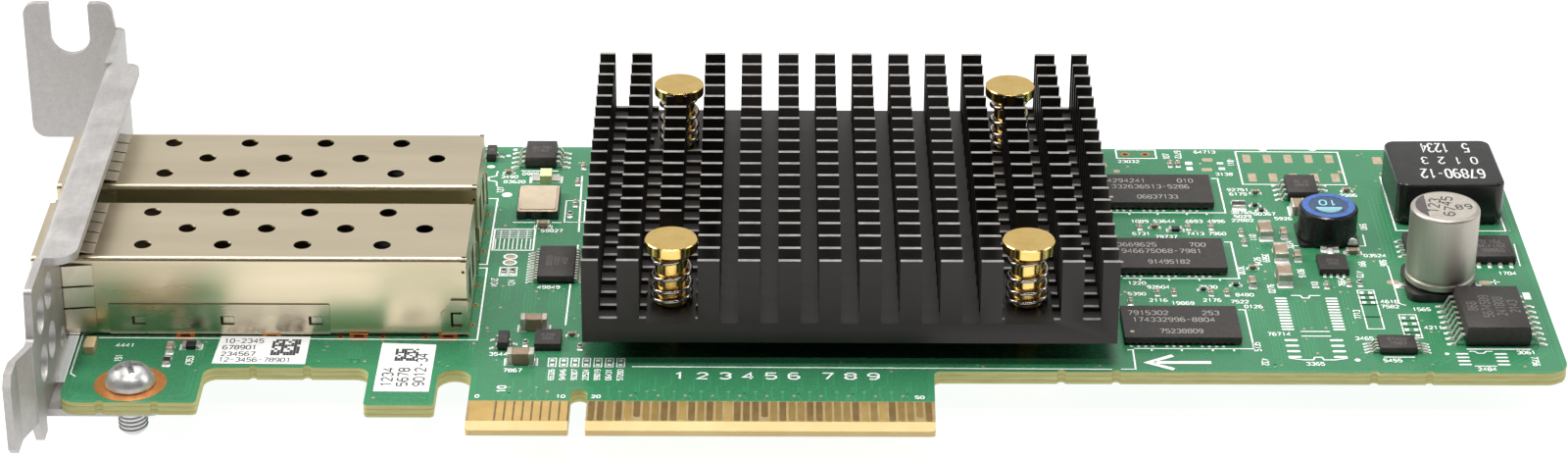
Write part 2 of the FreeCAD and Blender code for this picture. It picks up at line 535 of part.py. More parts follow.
# three power transistors in 8-lead packages
mos = [chip_body(83.65, 87.45, 54.45, 59.35, Z0, T + 1.35, 0.12),
       chip_body(103.65, 108.65, 38.40, 43.90, T, T + 1.10, 0.08),
       chip_body(96.05, 101.95, 39.40, 44.60, T, T + 1.10, 0.08)]
save("power_transistors", group(mos))
ml = leads_x(83.65, 87.45, 56.9, 4, 1.27, 0.42, 1.05, (Z0 + T + 1.35) / 2)
for k in range(4):
    ml.append(box(104.04 + 1.27 * k, 104.44 + 1.27 * k, 37.90, 38.40 + 0.0, T, T + 0.28))
    ml.append(box(95.50, 96.05, 40.10 + 1.27 * k, 40.50 + 1.27 * k, T, T + 0.28))
save("power_transistor_leads", group(ml))
# two leadless regulators
save("regulator_chips", group([
    chip_body(85.22, 88.72, 35.52, 39.42, T, T + 0.85, 0.05),
    chip_body(-5.50, -2.45, 16.85, 20.40, T, T + 0.95, 0.05)]))
reg = []
for k in range(4):
    reg.append(box(85.67 + 0.75 * k, 85.97 + 0.75 * k, 35.29, 35.52, T, T + 0.22))
save("regulator_leads", group(reg))
# small three-lead transistors
save("small_transistors", group([
    chip_body(-9.65, -8.35, 16.90, 19.90, Z0, T + 1.05, 0.08),
    chip_body(-14.00, -12.75, 64.60, 67.40, Z0, T + 1.05, 0.08)]))
st = []
for x0, x1, yc in ((-9.65, -8.35, 18.40), (-14.00, -12.75, 66.0)):
    zm = (Z0 + T + 1.05) / 2
    st += [lead(x0, yc - 0.95, -1, 0, 0.4, 0.62, zm, 0.12, 0.3),
           lead(x0, yc + 0.95, -1, 0, 0.4, 0.62, zm, 0.12, 0.3),
           lead(x1, yc, 1, 0, 0.4, 0.62, zm, 0.12, 0.3)]
save("small_transistor_leads", group(st))

# -------------------------------------------------------------- oscillator can
osc = slab([(-9.35, 49.15, 0.25), (-4.35, 49.15, 0.25), (-4.35, 56.15, 0.25), (-9.35, 56.15, 0.25)],
           T, T + 1.0)
osc = cut(osc, [cyl(x, y, T - 1, T + 1.6, 0.33) for x in (-7.9, -6.0) for y in (49.15, 56.15)])
save("oscillator_base", osc)
lid = fuse([slab([(-9.25, 49.25, 0.3), (-4.45, 49.25, 0.3), (-4.45, 56.05, 0.3), (-9.25, 56.05, 0.3)],
                 T + 1.0, T + 1.12),
            slab([(-9.0, 49.5, 0.35), (-4.7, 49.5, 0.35), (-4.7, 55.8, 0.35), (-9.0, 55.8, 0.35)],
                 T + 1.12, T + 1.28)])
save("oscillator_lid", lid)

# ------------------------------------------------------- moulded choke (block)
CH = (95.72, 108.62, 48.38, 60.45)
choke = slab([(CH[0], CH[2], 1.3), (CH[1], CH[2], 1.3), (CH[1], CH[3], 1.3), (CH[0], CH[3], 1.3)],
             T + 0.45, T + 5.50)
choke = choke.makeFillet(0.35, [e for e in choke.Edges
                                if abs(e.BoundBox.ZMin - (T + 5.5)) < 1e-6
                                and abs(e.BoundBox.ZMax - (T + 5.5)) < 1e-6])
choke.rotate(V((CH[0] + CH[1]) / 2, (CH[2] + CH[3]) / 2, 0), V(0, 0, 1), 1.2)
save("choke_body", choke)
save("choke_base", slab([(CH[0] + 0.3, CH[2] + 0.3, 1.0), (CH[1] - 0.3, CH[2] + 0.3, 1.0),
                         (CH[1] - 0.3, CH[3] - 0.3, 1.0), (CH[0] + 0.3, CH[3] - 0.3, 1.0)],
                        T, T + 0.45).cut(Part.makeCompound(
                            [cyl(x, y, T - 1, T + 1, 0.5) for x, y in CHOKE_PINS])))
save("choke_pins", group([cyl(x, y, -1.1, T + 0.45, 0.45) for x, y in CHOKE_PINS]))

# ---------------------------------------------------- drum inductor and clips
DX, DY = 87.22, 45.40
prof = [(0, T + 0.40), (3.45, T + 0.40), (3.56, T + 0.60), (3.52, T + 3.80), (3.40, T + 4.02),
        (3.20, T + 4.15), (0, T + 4.15)]
core = Part.Face(Part.makePolygon([V(DX + a, DY, z) for a, z in prof + prof[:1]])).revolve(
    V(DX, DY, 0), V(0, 0, 1), 360)
save("inductor_core", core)
save("inductor_base", slab([(DX - 3.58, DY - 2.95, 0.6), (DX + 3.58, DY - 2.95, 0.35),
                            (DX + 3.58, DY + 2.95, 0.35), (DX - 3.58, DY + 2.95, 0.6)],
                           T, T + 0.40))
clips = [box(DX - 1.05, DX + 1.05, DY - 3.25, DY - 2.95, T, T + 0.40),
         box(DX - 1.05, DX + 1.05, DY + 2.95, DY + 3.25, T, T + 0.40)]
save("inductor_terminals", group(clips))

# ------------------------------------------------------ electrolytic capacitor
prof = Part.Wire([
    Part.makeLine(V(CAN_X, CAN_Y, T + 1.0), V(CAN_X + CAN_R - 0.35, CAN_Y, T + 1.0)),
    Part.makeLine(V(CAN_X + CAN_R - 0.35, CAN_Y, T + 1.0), V(CAN_X + CAN_R, CAN_Y, T + 1.35)),
    Part.makeLine(V(CAN_X + CAN_R, CAN_Y, T + 1.35), V(CAN_X + CAN_R, CAN_Y, T + 1.9)),
    Part.Arc(V(CAN_X + CAN_R, CAN_Y, T + 1.9), V(CAN_X + CAN_R - 0.22, CAN_Y, T + 2.2),
             V(CAN_X + CAN_R, CAN_Y, T + 2.5)).toShape(),
    Part.makeLine(V(CAN_X + CAN_R, CAN_Y, T + 2.5), V(CAN_X + CAN_R, CAN_Y, CAN_TOP - 0.45)),
    Part.Arc(V(CAN_X + CAN_R, CAN_Y, CAN_TOP - 0.45), V(CAN_X + CAN_R - 0.13, CAN_Y, CAN_TOP - 0.13),
             V(CAN_X + CAN_R - 0.45, CAN_Y, CAN_TOP)).toShape(),
    Part.makeLine(V(CAN_X + CAN_R - 0.45, CAN_Y, CAN_TOP), V(CAN_X, CAN_Y, CAN_TOP)),
    Part.makeLine(V(CAN_X, CAN_Y, CAN_TOP), V(CAN_X, CAN_Y, T + 1.0))])
save("capacitor_can", Part.Face(prof).revolve(V(CAN_X, CAN_Y, 0), V(0, 0, 1), 360))
B = 4.04
capb = slab([(CAN_X - B, CAN_Y - B, 1.3), (CAN_X + B, CAN_Y - B, 0.2), (CAN_X + B, CAN_Y + B, 0.2),
             (CAN_X - B, CAN_Y + B, 1.3)], T + 0.12, T + 1.0)
capb = cut(capb, [box(CAN_X - 6, CAN_X + 6, CAN_Y - 0.4, CAN_Y + 0.4, T, T + 0.27)])
save("capacitor_base", capb)
save("capacitor_leads", group([
    fuse([box(CAN_X - B - 0.45, CAN_X - 1.0, CAN_Y - 0.4, CAN_Y + 0.4, T + 0.05, T + 0.25)]),
    fuse([box(CAN_X + 1.0, CAN_X + B + 0.45, CAN_Y - 0.4, CAN_Y + 0.4, T + 0.05, T + 0.25)])]))

# ----------------------------------------- chip capacitors and chip resistors
# (centre x, centre y, body length, body width, height, long axis)
CAPS = [
    (-5.75, 22.15, 3.05, 1.50, 1.62, "x"), (-6.80, 14.35, 3.05, 1.60, 1.50, "x"),
    (80.00, 45.95, 3.05, 1.55, 1.20, "y"), (81.25, 40.45, 3.00, 1.60, 1.10, "y"),
    (80.92, 34.30, 3.00, 1.70, 1.55, "y"), (84.60, 52.00, 1.60, 2.40, 1.25, "x"),
    (-6.05, 47.20, 1.60, 0.80, 0.80, "x"), (-46.38, 16.85, 1.60, 0.80, 0.75, "y"),
    (89.85, 41.20, 1.60, 0.85, 0.60, "x"),
    (65.19, 47.56, 1.0, 0.5, 0.5, "y"), (66.95, 47.58, 1.0, 0.5, 0.5, "x"),
    (71.00, 47.60, 1.0, 0.5, 0.5, "y"), (73.75, 47.63, 1.0, 0.5, 0.5, "y"),
    (65.88, 31.01, 1.0, 0.5, 0.5, "y"), (67.82, 31.03, 1.0, 0.5, 0.5, "y"),
    (72.13, 31.06, 1.0, 0.5, 0.5, "y"), (73.95, 31.07, 1.0, 0.5, 0.5, "y"),
    (82.19, 45.65, 1.6, 0.8, 0.8, "y"), (83.15, 39.90, 1.6, 0.8, 0.8, "y"),
    (77.13, 33.25, 1.6, 0.8, 0.8, "y"), (77.17, 46.10, 1.0, 0.5, 0.5, "y"),
    (77.30, 43.60, 1.0, 0.5, 0.5, "y"), (80.00, 56.75, 1.0, 0.5, 0.5, "x"),
    (70.32, 64.45, 1.0, 0.5, 0.5, "y"), (71.28, 64.45, 1.0, 0.5, 0.5, "y"),
    (-1.34, 20.48, 1.0, 0.5, 0.5, "x"), (91.17, 57.36, 1.0, 0.5, 0.5, "x"),
    (77.60, 37.20, 1.0, 0.5, 0.5, "x"), (62.60, 28.75, 1.0, 0.5, 0.5, "y"),
    (-2.45, 53.2, 1.0, 0.5, 0.5, "y"), (-2.45, 58.9, 1.0, 0.5, 0.5, "y"),
    (-1.9, 63.3, 1.0, 0.5, 0.5, "y"), (-11.0, 61.55, 1.0, 0.5, 0.5, "x"),
    (85.75, 32.9, 1.0, 0.5, 0.5, "y"), (88.4, 33.5, 1.0, 0.5, 0.5, "y"),
]
RES = [
    (-44.10, 17.55, 1.90, 1.25, 0.55, "x"), (77.62, 53.33, 1.60, 1.60, 0.45, "y"),
    (80.21, 52.04, 1.0, 0.5, 0.35, "x"), (79.6, 53.4, 1.0, 0.5, 0.35, "x"),
    (75.17, 33.00, 1.0, 0.5, 0.35, "x"), (69.4, 46.9, 1.6, 0.8, 0.45, "x"),
    (-10.06, 35.81, 1.0, 0.5, 0.35, "y"), (-9.03, 35.82, 1.0, 0.5, 0.35, "y"),
    (-0.33, 17.75, 1.0, 0.5, 0.35, "y"), (-6.55, 18.6, 1.0, 0.5, 0.35, "y"),
    (-46.4, 14.1, 1.6, 0.8, 0.45, "y"), (89.7, 33.5, 1.0, 0.5, 0.35, "y"),
    (71.3, 31.9, 1.0, 0.5, 0.35, "x"), (-3.0, 50.4, 1.0, 0.5, 0.35, "y"),
]


def chip_parts(items, band_frac, core_in):
    bodies, ends = [], []
    for x, y, L, W, H, ax in items:
        b = max(0.2, band_frac * L)
        hl, hw = L / 2, W / 2
        if ax == "y":
            bodies.append(box(x - hw + core_in, x + hw - core_in, y - hl + b, y + hl - b,
                              T + 0.02, T + H - core_in))
            ends.append(box(x - hw, x + hw, y - hl, y - hl + b, T, T + H))
            ends.append(box(x - hw, x + hw, y + hl - b, y + hl, T, T + H))
        else:
            bodies.append(box(x - hl + b, x + hl - b, y - hw + core_in, y + hw - core_in,
                              T + 0.02, T + H - core_in))
            ends.append(box(x - hl, x - hl + b, y - hw, y + hw, T, T + H))
            ends.append(box(x + hl - b, x + hl, y - hw, y + hw, T, T + H))
    return group(bodies), group(ends)


cb, ce = chip_parts(CAPS, 0.20, 0.02)
save("chip_capacitors", cb)
save("chip_capacitor_ends", ce)
rb, re_ = chip_parts(RES, 0.20, 0.03)
save("chip_resistors", rb)
save("chip_resistor_ends", re_)
save("signal_inductor", box(-7.05, -5.65, 58.75, 60.85, T, T + 1.05))
save("signal_inductor_ends", group([box(-8.00, -7.05, 58.95, 60.65, T, T + 0.35),
                                    box(-5.65, -4.70, 58.95, 60.65, T, T + 0.35)]))

# -------------------------------------------------------------- paper labels
LT = 0.08
save("long_label", Part.Face(Part.makePolygon([V(*q, T) for q in (
    (-41.35, 13.72), (-30.90, 13.62), (-30.93, 19.92), (-41.05, 20.05), (-41.35, 13.72))])
    ).extrude(V(0, 0, LT)))
save("square_label", Part.Face(Part.makePolygon([V(*q, T) for q in (
    (-22.75, 7.55), (-16.60, 7.50), (-16.55, 18.20), (-22.70, 18.55), (-22.75, 7.55))])
    ).extrude(V(0, 0, LT)))

print("nodes:", len(SAVED))
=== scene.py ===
import bpy, bmesh, math, random
from mathutils import Vector, Matrix


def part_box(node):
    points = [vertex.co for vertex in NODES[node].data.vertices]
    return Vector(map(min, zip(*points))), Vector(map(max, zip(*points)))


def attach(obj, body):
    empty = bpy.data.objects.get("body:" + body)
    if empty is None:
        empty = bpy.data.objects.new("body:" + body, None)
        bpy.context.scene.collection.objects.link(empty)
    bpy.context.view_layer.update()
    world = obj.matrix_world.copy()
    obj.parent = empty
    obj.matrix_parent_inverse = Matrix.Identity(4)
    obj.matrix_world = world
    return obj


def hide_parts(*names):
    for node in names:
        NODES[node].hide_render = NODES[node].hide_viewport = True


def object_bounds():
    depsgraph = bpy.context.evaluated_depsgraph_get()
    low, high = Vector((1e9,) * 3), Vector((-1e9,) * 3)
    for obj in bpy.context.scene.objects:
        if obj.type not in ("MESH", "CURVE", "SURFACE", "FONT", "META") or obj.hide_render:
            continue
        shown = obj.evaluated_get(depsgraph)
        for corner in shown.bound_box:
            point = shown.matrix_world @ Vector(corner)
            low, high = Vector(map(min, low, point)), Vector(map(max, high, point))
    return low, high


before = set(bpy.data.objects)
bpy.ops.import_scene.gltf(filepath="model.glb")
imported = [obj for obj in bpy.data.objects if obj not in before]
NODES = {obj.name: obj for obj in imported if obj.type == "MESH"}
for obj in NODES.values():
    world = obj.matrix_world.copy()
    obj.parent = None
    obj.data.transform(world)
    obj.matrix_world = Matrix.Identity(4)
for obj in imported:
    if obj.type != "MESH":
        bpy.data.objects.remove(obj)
CAD_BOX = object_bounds()
MM = 0.001
scene = bpy.context.scene


def mm_box(node):
    lo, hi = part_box(node)
    return [c / MM for c in lo] + [c / MM for c in hi]


board = mm_box("circuit_board")
T = 1.57                        # board thickness, mm: the board's top face
SILK = (T + 0.034, T + 0.052)   # print lies on the board's skin

# ------------------------------------------------------------------ camera
FOCAL_PX, ELEV, YAW, ROLL = 4016.4873, 0.47779568, -0.00355102, 0.00487445
EYE = Vector((21.20706, -370.19958, 217.57846)) * MM
fwd = Vector((-math.sin(YAW) * math.cos(ELEV), math.cos(YAW) * math.cos(ELEV), -math.sin(ELEV)))
right = Vector((math.cos(YAW), math.sin(YAW), 0.0))
up = right.cross(fwd)
r2 = right * math.cos(ROLL) + up * math.sin(ROLL)
u2 = -right * math.sin(ROLL) + up * math.cos(ROLL)
cam_data = bpy.data.cameras.new("view_camera")
cam_data.sensor_fit = "HORIZONTAL"
cam_data.sensor_width = 36.0
cam_data.lens = FOCAL_PX / 1600.0 * 36.0
cam_data.clip_start = 0.01
cam_data.clip_end = 20.0
cam = bpy.data.objects.new("view_camera", cam_data)
m = Matrix.Identity(4)
for i, axis in enumerate((r2, u2, -fwd)):
    for j in range(3):
        m[j][i] = axis[j]
for j in range(3):
    m[j][3] = EYE[j]
cam.matrix_world = m
scene.collection.objects.link(cam)
scene.camera = cam

# ------------------------------------------------------- light, floor, world
scene.view_settings.view_transform = "Standard"
scene.view_settings.look = "None"
scene.view_settings.exposure = 0.0

world = bpy.data.worlds.new("studio")
scene.world = world
world.use_nodes = True
wt = world.node_tree
bg = wt.nodes["Background"]
tc = wt.nodes.new("ShaderNodeTexCoord")
sp = wt.nodes.new("ShaderNodeSeparateXYZ")
wt.links.new(tc.outputs["Generated"], sp.inputs[0])
wr = wt.nodes.new("ShaderNodeValToRGB")
wt.links.new(sp.outputs["Y"], wr.inputs["Fac"])
e = wr.color_ramp.elements
e[0].position, e[0].color = 0.0, (0.045, 0.045, 0.046, 1)
e[1].position, e[1].color = 1.0, (0.80, 0.80, 0.81, 1)
for pos, g in ((0.12, 0.24), (0.45, 0.70), (0.70, 0.88)):
    q = e.new(pos)
    q.color = (g, g * 0.995, g * 0.985, 1)
wt.links.new(wr.outputs["Color"], bg.inputs["Color"])
bg.inputs["Strength"].default_value = 0.85


def area(name, at, look, sx, sy, watts, colour=(1, 1, 1)):
    data = bpy.data.lights.new(name, "AREA")
    data.shape = "RECTANGLE"
    data.size, data.size_y = sx, sy
    data.energy = watts
    data.color = colour
    ob = bpy.data.objects.new(name, data)
    ob.location = at
    d = Vector(look) - Vector(at)
    ob.rotation_euler = d.to_track_quat("-Z", "Y").to_euler()
    scene.collection.objects.link(ob)
    return ob


area("softbox_top", (0.02, 0.035, 0.95), (0.02, 0.035, 0.0), 0.16, 0.16, 5.2, (1.0, 0.99, 0.97))
area("softbox_back", (-0.05, 0.30, 0.66), (0.02, 0.03, 0.0), 0.7, 0.4, 1.4, (1.0, 0.99, 0.97))
area("softbox_left", (-0.62, 0.16, 0.50), (0.0, 0.03, 0.0), 0.40, 0.40, 4.6, (1.0, 0.99, 0.97))
area("strip_front", (0.0, -0.36, 0.74), (0.0, 0.03, 0.0), 0.90, 0.045, 1.5, (1.0, 0.99, 0.97))
area("softbox_right", (0.75, 0.10, 0.45), (0.02, 0.03, 0.0), 0.3, 0.5, 1.4, (0.98, 0.99, 1.0))

FLOOR_Z = CAD_BOX[0][2] - 0.00002
me = bpy.data.meshes.new("floor")
me.from_pydata([(-3, -3, FLOOR_Z), (3, -3, FLOOR_Z), (3, 3, FLOOR_Z), (-3, 3, FLOOR_Z)], [], [(0, 1, 2, 3)])
floor = bpy.data.objects.new("floor", me)
scene.collection.objects.link(floor)
fm = bpy.data.materials.new("floor_paper")
fm.use_nodes = True
fb = fm.node_tree.nodes["Principled BSDF"]
fb.inputs["Base Color"].default_value = (0.25, 0.25, 0.25, 1)
fb.inputs["Emission Color"].default_value = (1.0, 0.998, 0.99, 1)
fb.inputs["Emission Strength"].default_value = 0.93
fb.inputs["Roughness"].default_value = 0.9
fb.inputs["Specular IOR Level"].default_value = 0.1
me.materials.append(fm)


# --------------------------------------------------------------- materials
class Mat:
    """A node material written in short calls. Lengths are in millimetres."""

    def __init__(self, name, metal=0.0, rough=0.5, spec=0.5, coat=0.0, coat_rough=0.1):
        self.m = bpy.data.materials.new(name)
        self.m.use_nodes = True
        self.nt = self.m.node_tree
        self.b = self.nt.nodes["Principled BSDF"]
        self.b.inputs["Metallic"].default_value = metal
        self.b.inputs["Roughness"].default_value = rough
        self.b.inputs["Specular IOR Level"].default_value = spec
        self.b.inputs["Coat Weight"].default_value = coat
        self.b.inputs["Coat Roughness"].default_value = coat_rough
        self.tc = self.nt.nodes.new("ShaderNodeTexCoord")

    def n(self, kind, **kw):
        x = self.nt.nodes.new(kind)
        for k, v in kw.items():
            setattr(x, k, v)
        return x

    def link(self, a, b):
        self.nt.links.new(a, b)

    def vec(self, sx=1.0, sy=None, sz=None, rot=(0, 0, 0), loc=(0, 0, 0)):
        sy = sx if sy is None else sy
        sz = sx if sz is None else sz
        mp = self.n("ShaderNodeMapping")
        mp.inputs["Scale"].default_value = (sx / MM, sy / MM, sz / MM)
        mp.inputs["Rotation"].default_value = rot
        mp.inputs["Location"].default_value = loc
        self.link(self.tc.outputs["Object"], mp.inputs["Vector"])
        return mp.outputs["Vector"]

    def noise(self, scale=1.0, detail=3.0, rough=0.5, distort=0.0, sx=1.0, sy=None, sz=None, loc=(0, 0, 0)):
        x = self.n("ShaderNodeTexNoise")
        x.inputs["Scale"].default_value = scale
        x.inputs["Detail"].default_value = detail
        x.inputs["Roughness"].default_value = rough
        x.inputs["Distortion"].default_value = distort
        self.link(self.vec(sx, sy, sz, loc=loc), x.inputs["Vector"])
        return x.outputs["Fac"]

    def voronoi(self, scale=1.0, feature="F1", metric="EUCLIDEAN", out="Distance", sx=1.0, sy=None, sz=None):
        x = self.n("ShaderNodeTexVoronoi")
        x.feature = feature
        if feature in ("F1", "F2"):
            x.distance = metric
        x.inputs["Scale"].default_value = scale
        self.link(self.vec(sx, sy, sz), x.inputs["Vector"])
        return x.outputs[out]

    def ramp(self, fac, stops, mode="LINEAR"):
        x = self.n("ShaderNodeValToRGB")
        x.color_ramp.interpolation = mode
        e = x.color_ramp.elements
        e[0].position, e[0].color = stops[0][0], (*stops[0][1], 1)
        e[1].position, e[1].color = stops[-1][0], (*stops[-1][1], 1)
        for p, c in stops[1:-1]:
            q = e.new(p)
            q.color = (*c, 1)
        self.link(fac, x.inputs["Fac"])
        return x.outputs["Color"]

    def span(self, fac, lo, hi, f0=0.3, f1=0.7):
        x = self.n("ShaderNodeMapRange")
        x.inputs["From Min"].default_value = f0
        x.inputs["From Max"].default_value = f1
        x.inputs["To Min"].default_value = lo
        x.inputs["To Max"].default_value = hi
        self.link(fac, x.inputs["Value"])
        return x.outputs["Result"]

    def math(self, op, a, b=None, clamp=False):
        x = self.n("ShaderNodeMath", operation=op, use_clamp=clamp)
        for k, v in enumerate((a, b)):
            if v is None:
                continue
            if isinstance(v, (int, float)):
                x.inputs[k].default_value = v
            else:
                self.link(v, x.inputs[k])
        return x.outputs[0]

    def mix(self, fac, a, b, blend="MIX"):
        x = self.n("ShaderNodeMix", data_type="RGBA", blend_type=blend)
        for k, v in ((0, fac), (6, a), (7, b)):
            if isinstance(v, (int, float)):
                x.inputs[k].default_value = v
            elif isinstance(v, tuple):
                x.inputs[k].default_value = (*v, 1)
            else:
                self.link(v, x.inputs[k])
        return x.outputs[2]

    def pos(self):
        s = self.n("ShaderNodeSeparateXYZ")
        self.link(self.vec(1.0), s.inputs[0])
        return s.outputs

    def normal(self):
        g = self.n("ShaderNodeNewGeometry")
        s = self.n("ShaderNodeSeparateXYZ")
        self.link(g.outputs["Normal"], s.inputs[0])
        return s.outputs

    def colour(self, c):
        self.link(c, self.b.inputs["Base Color"])

    def rough(self, r):
        self.link(r, self.b.inputs["Roughness"])

    def bump(self, height, dist_mm, strength=1.0):
        x = self.n("ShaderNodeBump")
        x.inputs["Strength"].default_value = strength
        x.inputs["Distance"].default_value = dist_mm * MM
        self.link(height, x.inputs["Height"])
        self.link(x.outputs["Normal"], self.b.inputs["Normal"])


def simple(name, c1, c2, metal=0.0, rough=(0.4, 0.5), scale=0.8, spec=0.5, bump=0.0, bump_scale=6.0,
           stretch=None, coat=0.0, detail=4.0, coat_rough=0.1):
    k = Mat(name, metal=metal, spec=spec, coat=coat, coat_rough=coat_rough)
    sx, sy, sz = stretch or (1.0, 1.0, 1.0)
    f = k.noise(scale, detail, 0.55, sx=sx, sy=sy, sz=sz)
    k.colour(k.ramp(f, [(0.30, c1), (0.70, c2)]))
    g = k.noise(scale * 2.7, 3.0, 0.6, sx=sx, sy=sy, sz=sz, loc=(3.1, 7.7, 1.3))
    k.rough(k.span(g, rough[0], rough[1]))
    if bump:
        h = k.noise(bump_scale, 3.0, 0.6, sx=sx, sy=sy, sz=sz)
        k.bump(h, bump)
    return k.m


def board_material(name, tint=1.0, edge=True):
    """Green solder mask over glass cloth; bare laminate at the cut edge and by the contacts."""
    k = Mat(name, rough=0.30, spec=0.45)
    broad = k.noise(0.045, 3.0, 0.6)
    fine = k.noise(1.4, 3.0, 0.6)
    mask = k.ramp(broad, [(0.30, (0.036 * tint, 0.205 * tint, 0.092 * tint)),
                          (0.52, (0.042 * tint, 0.222 * tint, 0.102 * tint)),
                          (0.72, (0.050 * tint, 0.240 * tint, 0.115 * tint))])
    mask = k.mix(k.span(fine, 0.0, 0.03), mask, (0.10, 0.34, 0.18))
    weave_x = k.n("ShaderNodeTexWave", wave_type="BANDS", bands_direction="X")
    weave_x.inputs["Scale"].default_value = 0.55
    weave_x.inputs["Distortion"].default_value = 0.6
    k.link(k.vec(1.0), weave_x.inputs["Vector"])
    weave_y = k.n("ShaderNodeTexWave", wave_type="BANDS", bands_direction="Y")
    weave_y.inputs["Scale"].default_value = 0.50
    weave_y.inputs["Distortion"].default_value = 0.6
    k.link(k.vec(1.0), weave_y.inputs["Vector"])
    weave = k.math("MULTIPLY", weave_x.outputs["Fac"], weave_y.outputs["Fac"])
    mask = k.mix(k.span(weave, 0.0, 0.05, 0.0, 1.0), mask, (0.16, 0.42, 0.24))
    if edge:
        x, y, z = k.pos()
        nx, ny, nz = k.normal()
        # laminate: fine layers along the thickness, a dark seam where the inner copper ends
        layers = k.noise(1.0, 4.0, 0.7, sx=0.25, sy=0.25, sz=7.0)
        fr4 = k.ramp(layers, [(0.30, (0.430, 0.410, 0.150)), (0.50, (0.540, 0.530, 0.225)),
                              (0.70, (0.640, 0.640, 0.320))])
        zt = k.math("DIVIDE", z, T, clamp=True)
        seam = k.ramp(zt, [(0.0, (0.95, 0.95, 0.9)), (0.12, (1, 1, 1)), (0.30, (0.80, 0.76, 0.66)),
                           (0.36, (1, 1, 1)), (0.60, (0.97, 0.97, 0.95)), (0.66, (0.72, 0.68, 0.55)),
                           (0.72, (1, 1, 1)), (0.90, (1, 1, 1)), (1.0, (0.62, 0.86, 0.60))])
        fr4 = k.mix(1.0, fr4, seam, "MULTIPLY")
        bare = k.ramp(k.noise(0.5, 3.0, 0.6), [(0.3, (0.28, 0.208, 0.090)), (0.7, (0.36, 0.272, 0.125))])
        ysel = k.math("LESS_THAN", y, 5.75)
        xsel = k.math("GREATER_THAN", x, -12.6)
        xsel2 = k.math("LESS_THAN", x, 39.9)
        tongue = k.math("MULTIPLY", k.math("MULTIPLY", ysel, xsel), xsel2)
        slope = k.math("LESS_THAN", y, 1.30)
        tip = k.ramp(k.noise(0.8, 3.0, 0.6, sx=0.15), [(0.3, (0.66, 0.48, 0.20)), (0.7, (0.76, 0.59, 0.29))])
        face = k.mix(tongue, mask, bare)
        face = k.mix(k.math("MULTIPLY", tongue, slope), face, tip)
        flat = k.math("GREATER_THAN", k.math("ABSOLUTE", nz), 0.55)
        col = k.mix(flat, fr4, face)
        col = k.mix(k.math("MULTIPLY", k.math("MULTIPLY", xsel, xsel2), k.math("LESS_THAN", y, 1.29)), col, tip)
        k.colour(col)
        shiny = k.math("MULTIPLY", flat, k.math("SUBTRACT", 1.0, tongue))
        k.rough(k.span(shiny, 0.68, 0.27, 0.0, 1.0))
    else:
        k.colour(mask)
        k.rough(k.span(fine, 0.23, 0.32))
    h = k.math("ADD", weave, k.noise(3.0, 3.0, 0.6))
    k.bump(h, 0.0006)
    return k.m


def zinc(name):
    """Zinc-plated sheet steel, dull, cloudy, with fine rolling lines and small handling marks."""
    k = Mat(name, metal=0.78, spec=0.5)
    cloud = k.noise(0.22, 5.0, 0.65)
    grain = k.noise(2.2, 4.0, 0.7, sx=1.0, sy=0.12, sz=1.0)
    base = k.ramp(cloud, [(0.30, (0.400, 0.385, 0.372)), (0.50, (0.475, 0.460, 0.448)),
                          (0.70, (0.560, 0.548, 0.538))])
    pits = k.noise(1.6, 5.0, 0.75, loc=(9, 2, 4))
    base = k.mix(k.span(pits, 0.0, 0.5, 0.35, 0.65), base, (0.36, 0.345, 0.335))
    base = k.mix(k.span(grain, 0.0, 0.35), base, (0.60, 0.585, 0.575))
    spots = k.voronoi(0.9, out="Distance")
    base = k.mix(k.math("MULTIPLY", k.math("LESS_THAN", spots, 0.10), 0.35), base, (0.26, 0.25, 0.245))
    k.colour(base)
    k.rough(k.span(cloud, 0.42, 0.56))
    k.bump(k.math("ADD", grain, k.noise(5.0, 4.0, 0.6)), 0.006)
    return k.m


def anodised(name):
    """Black anodised aluminium, a little brown, with faint draw lines."""
    k = Mat(name, metal=0.0, spec=0.42)
    streak = k.noise(1.0, 4.0, 0.65, sx=0.15, sy=3.0, sz=3.0)
    cloud = k.noise(0.12, 3.0, 0.6)
    c = k.ramp(cloud, [(0.3, (0.0100, 0.0086, 0.0076)), (0.7, (0.0170, 0.0146, 0.0128))])
    c = k.mix(k.span(streak, 0.0, 0.35), c, (0.026, 0.0225, 0.0195))
    k.colour(c)
    k.rough(k.span(streak, 0.38, 0.46))
    k.bump(k.noise(5.0, 3.0, 0.6), 0.0022)
    return k.m


def fin_top_highlight(name):
    """Painted highlight: a lighter metallic grey on the upward faces at the fin tops and on a low step of the base."""
    k = Mat(name, metal=0.55, spec=0.5)
    n = k.noise(0.8, 4.0, 0.7, sx=1.2, sy=4.0, sz=4.0)
    k.colour(k.ramp(n, [(0.30, (0.24, 0.228, 0.218)), (0.55, (0.36, 0.342, 0.328)), (0.72, (0.50, 0.478, 0.46))]))
    k.rough(k.span(n, 0.30, 0.46))
    k.bump(k.noise(7.0, 3.0, 0.6), 0.006)
    return k.m


